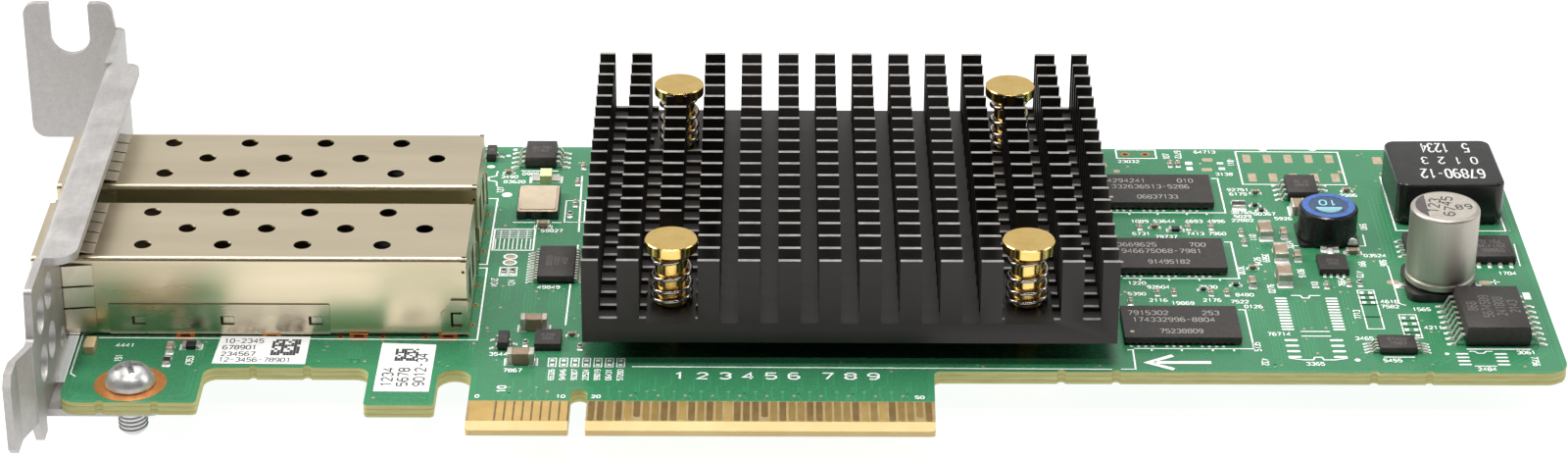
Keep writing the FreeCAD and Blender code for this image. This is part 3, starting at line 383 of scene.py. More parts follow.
def cage_metal(name, c1, c2, metal, rough, scale, bump=0.0, bump_scale=1.6, stretch=(1, 1, 1)):
    """Plated sheet; the faces that look into the cage get a painted shade, a darker base colour."""
    k = Mat(name, metal=metal)
    sx, sy, sz = stretch
    f = k.noise(scale, 4.0, 0.55, sx=sx, sy=sy, sz=sz)
    g = k.noise(scale * 2.7, 3.0, 0.6, sx=sx, sy=sy, sz=sz, loc=(3.1, 7.7, 1.3))
    x, y, z = k.pos()
    inner = None
    for tag in "ab":
        cb = mm_box("cage_cover_" + tag)
        a = k.math("MULTIPLY", k.math("GREATER_THAN", y, cb[1] + 0.12), k.math("LESS_THAN", y, cb[4] - 0.12))
        inner = a if inner is None else k.math("ADD", inner, a)
    low = k.math("LESS_THAN", z, mm_box("cage_cover_a")[5] - 0.12)
    x_in = k.math("MULTIPLY", k.math("LESS_THAN", x, mm_box("cage_cover_a")[3] - 0.12), k.math("GREATER_THAN", x, -56.0))
    painted_inside_shade = k.math("MULTIPLY", k.math("MULTIPLY", inner, low), x_in)
    c = k.ramp(f, [(0.30, c1), (0.70, c2)])
    # painted shade: inside the cage the base colour turns dark brown
    k.colour(k.mix(painted_inside_shade, c, (0.30, 0.25, 0.18)))
    k.rough(k.span(g, rough[0], rough[1]))
    if bump:
        k.bump(k.noise(bump_scale, 3.0, 0.6, sx=sx, sy=sy, sz=sz), bump)
    return k.m


def brass(name, disc=False):
    k = Mat(name, metal=1.0)
    cloud = k.noise(0.45, 5.0, 0.65)
    fine = k.noise(5.0, 3.0, 0.7)
    c = k.ramp(cloud, [(0.28, (0.80, 0.535, 0.160)), (0.50, (0.88, 0.610, 0.200)), (0.72, (0.93, 0.670, 0.250))])
    spots = k.math("GREATER_THAN", k.noise(1.7, 5.0, 0.75, loc=(5, 3, 1)), 0.66)
    c = k.mix(k.math("MULTIPLY", spots, 0.30), c, (0.42, 0.26, 0.09))
    k.colour(c)
    k.rough(k.span(fine, 0.15, 0.22))
    k.bump(fine, 0.0006)
    return k.m


def can_metal(name):
    k = Mat(name, metal=1.0)
    streak = k.noise(1.0, 4.0, 0.7, sx=2.5, sy=2.5, sz=0.06)
    fine = k.noise(4.0, 3.0, 0.6)
    k.colour(k.ramp(streak, [(0.30, (0.470, 0.435, 0.384)), (0.70, (0.518, 0.481, 0.427))]))
    k.rough(k.span(fine, 0.42, 0.52))
    k.bump(streak, 0.0012)
    return k.m


def paper(name):
    k = Mat(name, rough=0.62, spec=0.3)
    n = k.noise(3.0, 5.0, 0.7)
    c = k.noise(0.3, 3.0, 0.5)
    k.colour(k.ramp(c, [(0.3, (0.87, 0.87, 0.865)), (0.7, (0.93, 0.93, 0.925))]))
    k.rough(k.span(n, 0.55, 0.72))
    k.bump(n, 0.004)
    return k.m


def ceramic_cap(name):
    k = Mat(name, spec=0.5)
    n = k.noise(1.1, 4.0, 0.6)
    big = k.noise(0.09, 2.0, 0.5)
    k.colour(k.mix(k.span(big, 0.0, 0.7), k.ramp(n, [(0.3, (0.28, 0.195, 0.125)), (0.7, (0.40, 0.285, 0.190))]),
                   (0.24, 0.165, 0.110)))
    k.rough(k.span(n, 0.30, 0.42))
    k.bump(k.noise(8.0, 3.0, 0.6), 0.005)
    return k.m


M = {}
M["board"] = board_material("solder_mask_board")
M["skin"] = board_material("solder_mask_skin", tint=0.90, edge=False)
M["trace"] = board_material("solder_mask_over_copper", tint=1.13, edge=False)
M["zinc"] = zinc("zinc_steel")
M["screw"] = simple("screw_steel", (0.66, 0.66, 0.655), (0.84, 0.84, 0.83), 0.85, (0.28, 0.42), 1.4, bump=0.004, bump_scale=1.6)
M["nickel"] = cage_metal("nickel_sheet", (0.655, 0.565, 0.400), (0.722, 0.627, 0.456), 1.0, (0.27, 0.34), 0.18, bump=0.0016,
                     bump_scale=1.6, stretch=(0.10, 1.0, 1.0))
M["nickel_base"] = cage_metal("nickel_sheet_base", (0.525, 0.460, 0.338), (0.595, 0.520, 0.394), 1.0, (0.24, 0.32), 0.2, bump=0.0018,
                          bump_scale=1.6, stretch=(0.10, 1.0, 1.0))
M["spring_sheet"] = simple("spring_sheet", (0.62, 0.555, 0.44), (0.72, 0.650, 0.53), 1.0, (0.30, 0.38), 0.5, bump=0.0008, bump_scale=1.5)
M["dark_steel"] = simple("thread_steel", (0.30, 0.31, 0.31), (0.44, 0.45, 0.45), 1.0, (0.28, 0.42), 1.6, bump=0.003)
M["black_plastic"] = simple("connector_plastic", (0.012, 0.012, 0.012), (0.022, 0.021, 0.020), 0.0, (0.40, 0.52), 1.0, bump=0.006)
M["gold"] = simple("gold_contact", (0.66, 0.435, 0.140), (0.74, 0.510, 0.190), 0.72, (0.30, 0.38), 0.5, bump=0.0008, bump_scale=2.0)
M["gold_dark"] = simple("gold_contact_darker", (0.200, 0.125, 0.042), (0.28, 0.182, 0.066), 0.50, (0.34, 0.44), 0.6, bump=0.0008,
                        bump_scale=2.0)
M["gold_mid"] = simple("gold_contact_mid_tone", (0.37, 0.242, 0.076), (0.45, 0.302, 0.104), 0.60, (0.32, 0.42), 0.6,
                       bump=0.0008, bump_scale=2.0)
M["gap_shade"] = simple("bare_laminate_shade", (0.115, 0.072, 0.026), (0.17, 0.112, 0.045), 0.0, (0.6, 0.7), 1.0, bump=0.002)
M["led"] = simple("led_plastic", (0.56, 0.42, 0.22), (0.68, 0.53, 0.31), 0.0, (0.34, 0.46), 0.8, bump=0.003)
M["chip"] = simple("chip_mould", (0.026, 0.023, 0.021), (0.042, 0.037, 0.034), 0.0, (0.46, 0.60), 2.0, spec=0.40,
                   bump=0.010, bump_scale=9.0)
M["solder"] = simple("solder", (0.80, 0.79, 0.77), (0.93, 0.92, 0.90), 0.45, (0.24, 0.38), 1.8, bump=0.003, bump_scale=2.0)
M["pad_tin"] = simple("pad_tin", (0.88, 0.88, 0.86), (0.96, 0.96, 0.94), 0.20, (0.30, 0.42), 1.6, bump=0.002)
M["thermal"] = simple("thermal_pad", (0.30, 0.33, 0.38), (0.38, 0.41, 0.46), 0.0, (0.6, 0.75), 1.0, bump=0.02, bump_scale=2.0)
M["anodised"] = anodised("black_anodised")
M["fin_top_highlight"] = fin_top_highlight("fin_top_highlight")
M["brass"] = brass("polished_brass")
M["spring"] = simple("spring_steel", (0.50, 0.465, 0.42), (0.55, 0.515, 0.47), 1.0, (0.14, 0.19), 0.5, bump=0.0004)
M["end_cap"] = simple("end_cap_tin", (0.50, 0.455, 0.39), (0.66, 0.61, 0.54), 0.60, (0.34, 0.46), 1.6, bump=0.003)
M["lead"] = simple("tinned_lead", (0.66, 0.63, 0.57), (0.82, 0.79, 0.72), 0.75, (0.26, 0.40), 1.6, bump=0.004)
M["osc_base"] = simple("black_ceramic", (0.018, 0.018, 0.019), (0.030, 0.030, 0.031), 0.0, (0.36, 0.48), 1.4, bump=0.006)
M["osc_lid"] = simple("gold_lid", (0.640, 0.525, 0.375), (0.720, 0.605, 0.455), 0.55, (0.36, 0.48), 0.9, bump=0.003)
M["choke"] = simple("choke_plastic", (0.012, 0.0115, 0.011), (0.022, 0.021, 0.020), 0.0, (0.18, 0.26), 0.8, spec=0.38,
                    bump=0.006, bump_scale=1.0)
M["ferrite"] = simple("blue_black_ferrite", (0.008, 0.008, 0.009), (0.014, 0.014, 0.015), 0.0, (0.24, 0.32), 1.2, spec=0.35, bump=0.0012,
                      bump_scale=2.5)
M["ferrite_base"] = simple("ferrite_base", (0.010, 0.010, 0.011), (0.018, 0.018, 0.018), 0.0, (0.20, 0.30), 1.5, bump=0.002)
M["can"] = can_metal("can_aluminium")
M["can_base"] = simple("can_base_plastic", (0.014, 0.013, 0.012), (0.024, 0.022, 0.020), 0.0, (0.26, 0.40), 1.0, bump=0.006)
M["cap"] = ceramic_cap("tan_ceramic")
M["resistor"] = simple("resistor_black", (0.020, 0.019, 0.019), (0.034, 0.033, 0.033), 0.0, (0.26, 0.36), 2.0, bump=0.003)
M["pale"] = simple("pale_ceramic", (0.66, 0.66, 0.30), (0.78, 0.78, 0.44), 0.0, (0.32, 0.45), 1.6, bump=0.006)
M["paper"] = paper("label_paper")
M["silk"] = simple("white_print", (0.90, 0.92, 0.90), (0.97, 0.98, 0.97), 0.0, (0.50, 0.62), 2.5, bump=0.004)
M["ink"] = simple("black_print", (0.028, 0.028, 0.032), (0.055, 0.055, 0.06), 0.0, (0.5, 0.65), 3.0, bump=0.002)
M["grey_print"] = simple("grey_print", (0.30, 0.285, 0.255), (0.42, 0.400, 0.365), 0.0, (0.5, 0.6), 4.0, bump=0.002)
M["faint_print"] = simple("faint_print", (0.105, 0.098, 0.092), (0.145, 0.136, 0.128), 0.0, (0.5, 0.6), 4.0, bump=0.002)
M["white_ink"] = simple("white_ink", (0.62, 0.63, 0.62), (0.76, 0.77, 0.76), 0.0, (0.40, 0.52), 3.0, bump=0.003)
M["copper"] = simple("bare_copper", (0.60, 0.225, 0.060), (0.74, 0.330, 0.110), 0.7, (0.30, 0.42), 1.3, bump=0.006)
M["tan_pad"] = simple("tan_pad", (0.47, 0.36, 0.235), (0.62, 0.50, 0.36), 0.45, (0.30, 0.42), 1.1, bump=0.005)
M["via_hole"] = simple("via_hole", (0.018, 0.010, 0.006), (0.045, 0.022, 0.012), 0.0, (0.6, 0.7), 3.0, bump=0.003)
M["blue_ring"] = simple("blue_ring", (0.022, 0.085, 0.330), (0.045, 0.150, 0.470), 0.0, (0.24, 0.36), 1.6, bump=0.006, coat=0.2)
M["navy"] = simple("navy_disc", (0.020, 0.050, 0.105), (0.036, 0.078, 0.150), 0.0, (0.28, 0.4), 1.6, bump=0.005, coat=0.1)
M["light_blue"] = simple("light_blue_print", (0.22, 0.52, 0.60), (0.33, 0.64, 0.70), 0.0, (0.4, 0.5), 3.0, bump=0.002)
M["dark_sector"] = simple("dark_sector", (0.10, 0.080, 0.085), (0.16, 0.135, 0.14), 0.55, (0.30, 0.42), 2.0, bump=0.002)
M["can_top"] = simple("can_top", (0.60, 0.545, 0.465), (0.72, 0.665, 0.585), 0.85, (0.30, 0.42), 1.0, bump=0.003)

WEAR = {
    "circuit_board": "board", "mounting_bracket": "zinc", "bracket_screws": "screw",
    "cage_cover_a": "nickel", "cage_cover_b": "nickel", "cage_base_a": "nickel_base", "cage_base_b": "nickel_base",
    "emi_spring_a": "spring_sheet", "emi_spring_b": "spring_sheet", "host_connector_a": "black_plastic",
    "host_connector_b": "black_plastic", "host_contacts_a": "gold", "host_contacts_b": "gold", "status_led": "led",
    "controller_chip": "chip", "memory_chips": "chip", "power_chip": "chip", "flash_chip": "chip", "logic_chip": "chip",
    "buffer_chip": "chip", "power_transistors": "chip", "regulator_chips": "chip", "small_transistors": "chip",
    "controller_solder_balls": "solder", "memory_solder_balls": "solder", "thermal_pad": "thermal",
    "heatsink": "anodised", "push_pins": "brass", "pin_springs": "spring", "power_chip_leads": "lead",
    "flash_chip_leads": "lead", "logic_chip_leads": "lead", "buffer_chip_leads": "lead", "power_transistor_leads": "lead",
    "regulator_leads": "lead", "small_transistor_leads": "lead", "choke_pins": "lead", "inductor_terminals": "lead",
    "capacitor_leads": "lead", "chip_capacitor_ends": "lead", "chip_resistor_ends": "lead", "signal_inductor_ends": "lead",
    "oscillator_base": "osc_base", "oscillator_lid": "osc_lid", "choke_body": "choke", "choke_base": "choke",
    "inductor_core": "ferrite", "inductor_base": "ferrite_base", "capacitor_can": "can", "capacitor_base": "can_base",
    "chip_capacitors": "cap", "chip_resistors": "resistor", "signal_inductor": "pale",
    "long_label": "paper", "square_label": "paper",
}
for node, key in WEAR.items():
    slots = NODES[node].material_slots
    for s in slots:
        s.material = M[key]


# ---------------------------------------------------------- mesh-code helpers
class Geo:
    """Closed solids collected into one mesh. Millimetres."""

    def __init__(self):
        self.v, self.f, self.mi, self.m = [], [], [], 0

    def add(self, verts, faces):
        o = len(self.v)
        self.v += verts
        self.f += [tuple(i + o for i in f) for f in faces]
        self.mi += [self.m] * len(faces)

    def loft(self, rings, cap0=True, cap1=True):
        """Rings of equal length, each counter-clockwise seen from the far end."""
        n = len(rings[0])
        verts = [tuple(p) for r in rings for p in r]
        faces = []
        if cap0:
            faces.append(tuple(reversed(range(n))))
        for k in range(len(rings) - 1):
            a, b = k * n, (k + 1) * n
            for i in range(n):
                j = (i + 1) % n
                faces.append((a + i, a + j, b + j, b + i))
        if cap1:
            faces.append(tuple(range((len(rings) - 1) * n, len(rings) * n)))
        self.add(verts, faces)

    def prism(self, pts, z0, z1, ch=0.0):
        if area2(pts) < 0:
            pts = pts[::-1]
        rings = [[(x, y, z0) for x, y in pts]]
        if ch:
            rings.append([(x, y, z1 - ch) for x, y in pts])
            rings.append([(x, y, z1) for x, y in offset(pts, -ch)])
        else:
            rings.append([(x, y, z1) for x, y in pts])
        self.loft(rings)

    def box(self, x0, x1, y0, y1, z0, z1, ch=0.0):
        self.prism([(x0, y0), (x1, y0), (x1, y1), (x0, y1)], z0, z1, ch)

    def rbox(self, x0, x1, y0, y1, z0, z1, r, ch=0.0, n=4):
        pts = []
        for cx, cy, a0 in ((x1 - r, y0 + r, -90), (x1 - r, y1 - r, 0), (x0 + r, y1 - r, 90), (x0 + r, y0 + r, 180)):
            for k in range(n + 1):
                a = math.radians(a0 + 90 * k / n)
                pts.append((cx + r * math.cos(a), cy + r * math.sin(a)))
        self.prism(pts, z0, z1, ch)

    def disc(self, x, y, r, z0, z1, n=20, ch=0.0, sx=1.0, sy=1.0):
        pts = [(x + sx * r * math.cos(2 * math.pi * k / n), y + sy * r * math.sin(2 * math.pi * k / n)) for k in range(n)]
        self.prism(pts, z0, z1, ch)

    def dome(self, x, y, r, z0, h, n=14, steps=4, sx=1.0, sy=1.0):
        rings = []
        for s in range(steps + 1):
            a = math.pi / 2 * s / steps
            rr = max(r * math.cos(a), r * 0.04)
            rings.append([(x + sx * rr * math.cos(2 * math.pi * k / n), y + sy * rr * math.sin(2 * math.pi * k / n),
                           z0 + h * math.sin(a)) for k in range(n)])
        self.loft(rings)

    def ring(self, x, y, r0, r1, z0, z1, n=28, a0=0.0, a1=360.0, sx=1.0, sy=1.0):
        full = abs(a1 - a0) >= 359.9
        rings = []
        cnt = n if full else n + 1
        for k in range(cnt):
            a = math.radians(a0 + (a1 - a0) * k / n)
            c, s = math.cos(a), math.sin(a)
            rings.append([(x + sx * r0 * c, y + sy * r0 * s, z0), (x + sx * r1 * c, y + sy * r1 * s, z0),
                          (x + sx * r1 * c, y + sy * r1 * s, z1), (x + sx * r0 * c, y + sy * r0 * s, z1)])
        verts = [p for r in rings for p in r]
        faces = []
        last = cnt if full else cnt - 1
        for k in range(last):
            a, b = 4 * k, 4 * ((k + 1) % cnt)
            for i in range(4):
                j = (i + 1) % 4
                faces.append((a + i, b + i, b + j, a + j))
        if not full:
            faces.append((0, 1, 2, 3))
            e = 4 * (cnt - 1)
            faces.append((e + 3, e + 2, e + 1, e))
        self.add(verts, faces)

    def revolve(self, prof, x, y, n=40):
        """prof runs up the outside: (r, z), ends on the axis closed by flat caps."""
        rings = [[(x + r * math.cos(2 * math.pi * k / n), y + r * math.sin(2 * math.pi * k / n), z) for k in range(n)]
                 for r, z in prof]
        self.loft(rings)

    def tube(self, path, r, n=8, closed=False):
        rings = []
        cnt = len(path)
        for i, p in enumerate(path):
            a = Vector(path[(i - 1) % cnt] if (closed or i) else path[0])
            b = Vector(path[(i + 1) % cnt] if (closed or i < cnt - 1) else path[-1])
            t = (b - a).normalized()
            ref = Vector((0, 0, 1)) if abs(t.z) < 0.9 else Vector((1, 0, 0))
            s = t.cross(ref).normalized()
            w = s.cross(t)
            rings.append([tuple(Vector(p) + s * (r * math.cos(2 * math.pi * k / n)) + w * (-r * math.sin(2 * math.pi * k / n)))
                          for k in range(n)])
        self.loft([q[::-1] for q in rings])

    def ribbon(self, pts, w, z0, z1, closed=False):
        pts = [p for i, p in enumerate(pts) if i == 0 or math.hypot(p[0] - pts[i - 1][0], p[1] - pts[i - 1][1]) > 1e-5]
        n = len(pts)
        left, rightp = [], []
        for i in range(n):
            if closed:
                a, b, c = pts[i - 1], pts[i], pts[(i + 1) % n]
            else:
                a, b, c = pts[max(i - 1, 0)], pts[i], pts[min(i + 1, n - 1)]
            d1 = unit(a, b) if a != b else unit(b, c)
            d2 = unit(b, c) if b != c else unit(a, b)
            nx, ny = -(d1[1] + d2[1]), d1[0] + d2[0]
            ln = math.hypot(nx, ny)
            if ln < 0.2:
                nx, ny, ln = -d1[1], d1[0], 1.0
            nx, ny = nx / ln, ny / ln
            dot = nx * -d1[1] + ny * d1[0]
            h = w / 2 / max(dot, 0.5)
            left.append((b[0] + nx * h, b[1] + ny * h))
            rightp.append((b[0] - nx * h, b[1] - ny * h))
        verts = []
        for i in range(n):
            (lx, ly), (rx, ry) = left[i], rightp[i]
            verts += [(lx, ly, z0), (rx, ry, z0), (rx, ry, z1), (lx, ly, z1)]
        faces = []
        for i in range(n if closed else n - 1):
            a, b = 4 * i, 4 * ((i + 1) % n)
            for q in range(4):
                s = (q + 1) % 4
                faces.append((a + q, a + s, b + s, b + q))
        if not closed:
            faces.append((3, 2, 1, 0))
            e = 4 * (n - 1)
            faces.append((e, e + 1, e + 2, e + 3))
        self.add(verts, faces)

    def digits(self, text, x, y, h, ang=0.0, w=None, z=SILK, gap=1.45, wide=0.62, down=False):
        """Plain numerals as strokes, centred on (x, y); down mirrors them for the solder side."""
        w = w or h * 0.15
        cw = h * wide
        adv = cw * gap
        total = adv * (len(text) - 1) + cw
        c, s = math.cos(math.radians(ang)), math.sin(math.radians(ang))
        for i, ch in enumerate(text):
            for stroke in STROKES.get(ch, []):
                pts = []
                for a, b in stroke:
                    px = -total / 2 + i * adv + a / 4 * cw
                    py = -h / 2 + b / 6 * h
                    if down:
                        px = -px
                    pts.append((x + px * c - py * s, y + px * s + py * c))
                loop = len(pts) > 3 and math.hypot(pts[0][0] - pts[-1][0], pts[0][1] - pts[-1][1]) < 1e-6
                if loop:
                    pts = pts[:-1]
                self.ribbon(pts, w, z[0], z[1], closed=loop)


STROKES = {
    "0": [[(0, 1.2), (0, 4.8), (1.2, 6), (2.8, 6), (4, 4.8), (4, 1.2), (2.8, 0), (1.2, 0), (0, 1.2)]],
    "1": [[(0.8, 4.8), (2.2, 6), (2.2, 0)]],
    "2": [[(0, 4.8), (1.2, 6), (2.8, 6), (4, 4.8), (4, 4.0), (0, 0), (4, 0)]],
    "3": [[(0, 5.2), (1.2, 6), (2.8, 6), (4, 4.9), (4, 4.1), (2.8, 3.2), (4, 2.3), (4, 1.1), (2.8, 0), (1.2, 0), (0, 0.9)]],
    "4": [[(3, 0), (3, 6), (0, 1.8), (4, 1.8)]],
    "5": [[(4, 6), (0.3, 6), (0.1, 3.4), (2.8, 3.6), (4, 2.6), (4, 1.2), (2.8, 0), (1.2, 0), (0, 0.8)]],
    "6": [[(3.6, 5.6), (2.6, 6), (1.2, 6), (0, 4.4), (0, 1.2), (1.2, 0), (2.8, 0), (4, 1.2), (4, 2.4), (2.8, 3.4), (0.6, 3.2)]],
    "7": [[(0, 6), (4, 6), (1.5, 0)]],
    "8": [[(1.2, 3.2), (0, 4.2), (0, 5.0), (1.2, 6), (2.8, 6), (4, 5.0), (4, 4.2), (2.8, 3.2), (1.2, 3.2)],
          [(1.2, 3.2), (0, 2.2), (0, 1.1), (1.2, 0), (2.8, 0), (4, 1.1), (4, 2.2), (2.8, 3.2)]],
    "9": [[(0.4, 0.4), (1.4, 0), (2.8, 0), (4, 1.6), (4, 4.8), (2.8, 6), (1.2, 6), (0, 4.8), (0, 3.6), (1.2, 2.6), (3.6, 2.9)]],
    "-": [[(0.6, 3), (3.4, 3)]],
    "+": [[(0.2, 3), (3.8, 3)], [(2, 1.2), (2, 4.8)]],
}


def unit(a, b):
    dx, dy = b[0] - a[0], b[1] - a[1]
    ln = math.hypot(dx, dy) or 1.0
    return dx / ln, dy / ln


def area2(pts):
    return sum(pts[i - 1][0] * pts[i][1] - pts[i][0] * pts[i - 1][1] for i in range(len(pts)))


def offset(pts, d):
    """Offset a counter-clockwise outline: outwards for d > 0."""
    out = []
    n = len(pts)
    for i in range(n):
        a, b, c = pts[i - 1], pts[i], pts[(i + 1) % n]
        d1, d2 = unit(a, b), unit(b, c)
        nx, ny = d1[1] + d2[1], -(d1[0] + d2[0])
        ln = math.hypot(nx, ny)
        if ln < 1e-6:
            out.append(b)
            continue
        nx, ny = nx / ln, ny / ln
        dot = nx * d1[1] - ny * d1[0]
        h = d / max(dot, 0.4)
        out.append((b[0] + nx * h, b[1] + ny * h))
    return out


def piece(name, geo, mats, smooth=None):
    """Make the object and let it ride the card."""
    me = bpy.data.meshes.new(name)
    me.from_pydata([(x * MM, y * MM, z * MM) for x, y, z in geo.v], [], geo.f)
    for k in (mats if isinstance(mats, (list, tuple)) else [mats]):
        me.materials.append(M[k])
    me.polygons.foreach_set("material_index", geo.mi)
    me.update()
    if smooth is not None:
        me.shade_smooth()
        me.set_sharp_from_angle(angle=math.radians(smooth))
    ob = bpy.data.objects.new(name, me)
    scene.collection.objects.link(ob)
    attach(ob, "root")
    return ob


def islands(node):
    """Boxes (x0, y0, z0, x1, y1, z1) in mm of the separate solids in a node."""
    me = NODES[node].data
    parent = {}

    def find(a):
        while parent[a] != a:
            parent[a] = parent[parent[a]]
            a = parent[a]
        return a

    keys = [tuple(round(c / MM * 500) for c in v.co) for v in me.vertices]
    for k in keys:
        parent.setdefault(k, k)
    for e in me.edges:
        a, b = find(keys[e.vertices[0]]), find(keys[e.vertices[1]])
        if a != b:
            parent[a] = b
    boxes = {}
    for k, v in zip(keys, me.vertices):
        r = find(k)
        p = [c / MM for c in v.co]
        if r in boxes:
            b = boxes[r]
            for i in range(3):
                b[i] = min(b[i], p[i])
                b[i + 3] = max(b[i + 3], p[i])
        else:
            boxes[r] = p + p
    return sorted((tuple(b) for b in boxes.values()), key=lambda b: (round(b[0], 2), round(b[1], 2)))


def softened(node, name, width, mats, segs=1, angle=28.0, paint=None, smooth=40.0):
    """The CAD node with its sharp edges broken, as a piece that stands for it."""
    bm = bmesh.new()
    bm.from_mesh(NODES[node].data)
    bmesh.ops.remove_doubles(bm, verts=bm.verts, dist=1.5e-6)
    bmesh.ops.dissolve_limit(bm, angle_limit=math.radians(0.6), verts=bm.verts, edges=bm.edges)
    edges = [e for e in bm.edges if len(e.link_faces) == 2 and e.calc_face_angle(0.0) > math.radians(angle)]
    bmesh.ops.bevel(bm, geom=edges, offset=width * MM, segments=segs, profile=0.5, affect="EDGES", clamp_overlap=True)
    bmesh.ops.recalc_face_normals(bm, faces=bm.faces)
    if paint:
        for f in bm.faces:
            f.material_index = paint(f)
    else:
        for f in bm.faces:
            f.material_index = 0
    me = bpy.data.meshes.new(name)
    bm.to_mesh(me)
    bm.free()
    for k in mats:
        me.materials.append(M[k])
    me.shade_smooth()
    me.set_sharp_from_angle(angle=math.radians(smooth))
    ob = bpy.data.objects.new(name, me)
    scene.collection.objects.link(ob)
    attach(ob, "root")
    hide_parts(node)
    return ob


rnd = random.Random(41)


def number(n=4):
    return "".join(rnd.choice("0123456789") for _ in range(n))


# ------------------------------------------------ chips and blocks, edges broken
softened("memory_chips", "memory_chip_bodies", 0.05, ["chip"])
softened("choke_body", "choke_moulding", 0.17, ["choke"], segs=3)
softened("chip_capacitors", "chip_capacitor_bodies", 0.07, ["cap"])
softened("chip_capacitor_ends", "chip_capacitor_end_caps", 0.06, ["end_cap"])
softened("chip_resistors", "chip_resistor_bodies", 0.04, ["resistor"])
softened("chip_resistor_ends", "chip_resistor_end_caps", 0.035, ["lead"])
softened("power_chip", "power_chip_body", 0.06, ["chip"])
softened("flash_chip", "flash_chip_body", 0.05, ["chip"])
softened("logic_chip", "logic_chip_body", 0.05, ["chip"])
softened("buffer_chip", "buffer_chip_body", 0.04, ["chip"])
softened("power_transistors", "power_transistor_bodies", 0.05, ["chip"])
softened("oscillator_lid", "oscillator_cover", 0.04, ["osc_lid"])
softened("status_led", "status_light_body", 0.05, ["led"])


# painted highlight: upward faces high on the fins and on a low step take the lighter fin-top material
def fin_top_highlight_faces(f):
    c = f.calc_center_median()
    return 1 if f.normal.z > 0.9 and (c.z > 14.2 * MM or 7.15 * MM < c.z < 7.4 * MM) else 0


softened("heatsink", "heatsink_fins", 0.05, ["anodised", "fin_top_highlight"], smooth=20.0, paint=fin_top_highlight_faces)


# ------------------------------------------------ what stands on the board
COMPONENTS = ["controller_chip", "memory_chips", "power_chip", "flash_chip", "logic_chip", "buffer_chip",
              "power_transistors", "regulator_chips", "small_transistors", "power_chip_leads", "flash_chip_leads",
              "logic_chip_leads", "buffer_chip_leads", "power_transistor_leads", "small_transistor_leads",
              "oscillator_base", "choke_body", "inductor_core", "inductor_base", "capacitor_base", "chip_capacitors",
              "chip_capacitor_ends", "chip_resistors", "chip_resistor_ends", "signal_inductor", "status_led",
              "long_label", "square_label", "bracket_screws", "cage_cover_a", "cage_cover_b", "cage_base_a", "cage_base_b"]
busy = []
for c in COMPONENTS:
    for b in islands(c):
        if b[2] < T + 1.0:
            busy.append((b[0], b[1], b[3], b[4]))
marks = []                      # boxes already taken by print and pads


def free(x0, y0, x1, y1, gap=0.15, also=True):
    for b in busy + (marks if also else []):
        if x1 + gap > b[0] and x0 - gap < b[2] and y1 + gap > b[1] and y0 - gap < b[3]:
            return False
    return True


def take(x0, y0, x1, y1):
    marks.append((min(x0, x1), min(y0, y1), max(x0, x1), max(y0, y1)))


EDGE = [(-57.15, 5.05), (-42.05, 5.05), (-42.05, 12.95), (-23.6, 12.95), (-23.6, 4.66), (-15.9, 4.66),
        (-15.9, 12.57), (-12.15, 12.57), (-12.15, 5.20), (-0.95, 5.20), (-0.95, 8.25), (0.95, 8.25),
        (0.95, 5.20), (39.15, 5.20), (39.40, 12.55), (110.5, 12.55), (110.5, 68.9), (-57.15, 68.9)]


def inside(x, y, margin=1.0):
    poly = SKIN_LINE
    hit = False
    for i in range(len(poly)):
        (x0, y0), (x1, y1) = poly[i - 1], poly[i]
        if (y0 > y) != (y1 > y) and x < (x1 - x0) * (y - y0) / (y1 - y0) + x0:
            hit = not hit
    return hit


SKIN_LINE = offset(EDGE, -0.70)
ztop = T + 0.012
g = Geo()
g.prism(SKIN_LINE, T - 0.04, ztop, 0.010)
piece("copper_plane_skin", g, "skin")
g = Geo()
g.prism(SKIN_LINE, -0.012, 0.04)
piece("copper_plane_skin_back", g, "skin")

# ------------------------------------------------------- contacts of the edge
g = Geo()
gb = Geo()
xs = [-11.5 + k for k in range(11)] + [1.5 + k for k in range(38)]
zt = T + 0.030
tone = random.Random(5)


def finger(x, half, y0, y1):
    """Flat contact with a rounded lower end."""
    r = min(0.30, half * 0.9)
    pts = [(x - half, y1), (x - half, y0 + r)]
    pts += [(x - half + r - r * math.cos(math.radians(t)), y0 + r - r * math.sin(math.radians(t))) for t in (30, 60, 90)]
    pts += [(x + half - r + r * math.sin(math.radians(t)), y0 + r - r * math.cos(math.radians(t))) for t in (0, 30, 60, 90)]
    pts += [(x + half, y1)]
    g.prism(pts, T - 0.03, zt, 0.012)


for k, x in enumerate(xs):
    # each contact takes one of three gold tones at random: full, darker and mid tone
    shade = tone.random()
    g.m = 0 if k < 11 or shade > 0.86 else (1 if shade < 0.45 else 2)
    if k in (0, 1, 2):
        if k == 0:
            g.box(-11.86, -9.16, 1.34, 5.62, T - 0.03, zt, 0.015)
    elif k < 11:
        g.box(x - 0.40, x + 0.40, 1.34, 5.62, T - 0.03, zt, 0.012)
    else:
        finger(x, 0.36, 1.36 + (0.9 if k in (16, 30, 47) else tone.uniform(0.0, 0.06)), 5.62)
    gb.box(x - 0.35, x + 0.35, 1.28, 5.62, -0.030, 0.03)
piece("edge_contacts_front", g, ["gold", "gold_dark", "gold_mid"])
piece("edge_contacts_back", gb, "gold")
# the grooves of bare laminate beside the front contacts of the short tongue are dark
g = Geo()
for x in xs[2:11]:
    g.box(x + 0.41, x + 0.59, 1.40, 5.60, T - 0.02, T + 0.008)
piece("contact_gaps", g, "gap_shade")

# -------------------------------------------- solder and pads under the parts
solder, pads = Geo(), Geo()


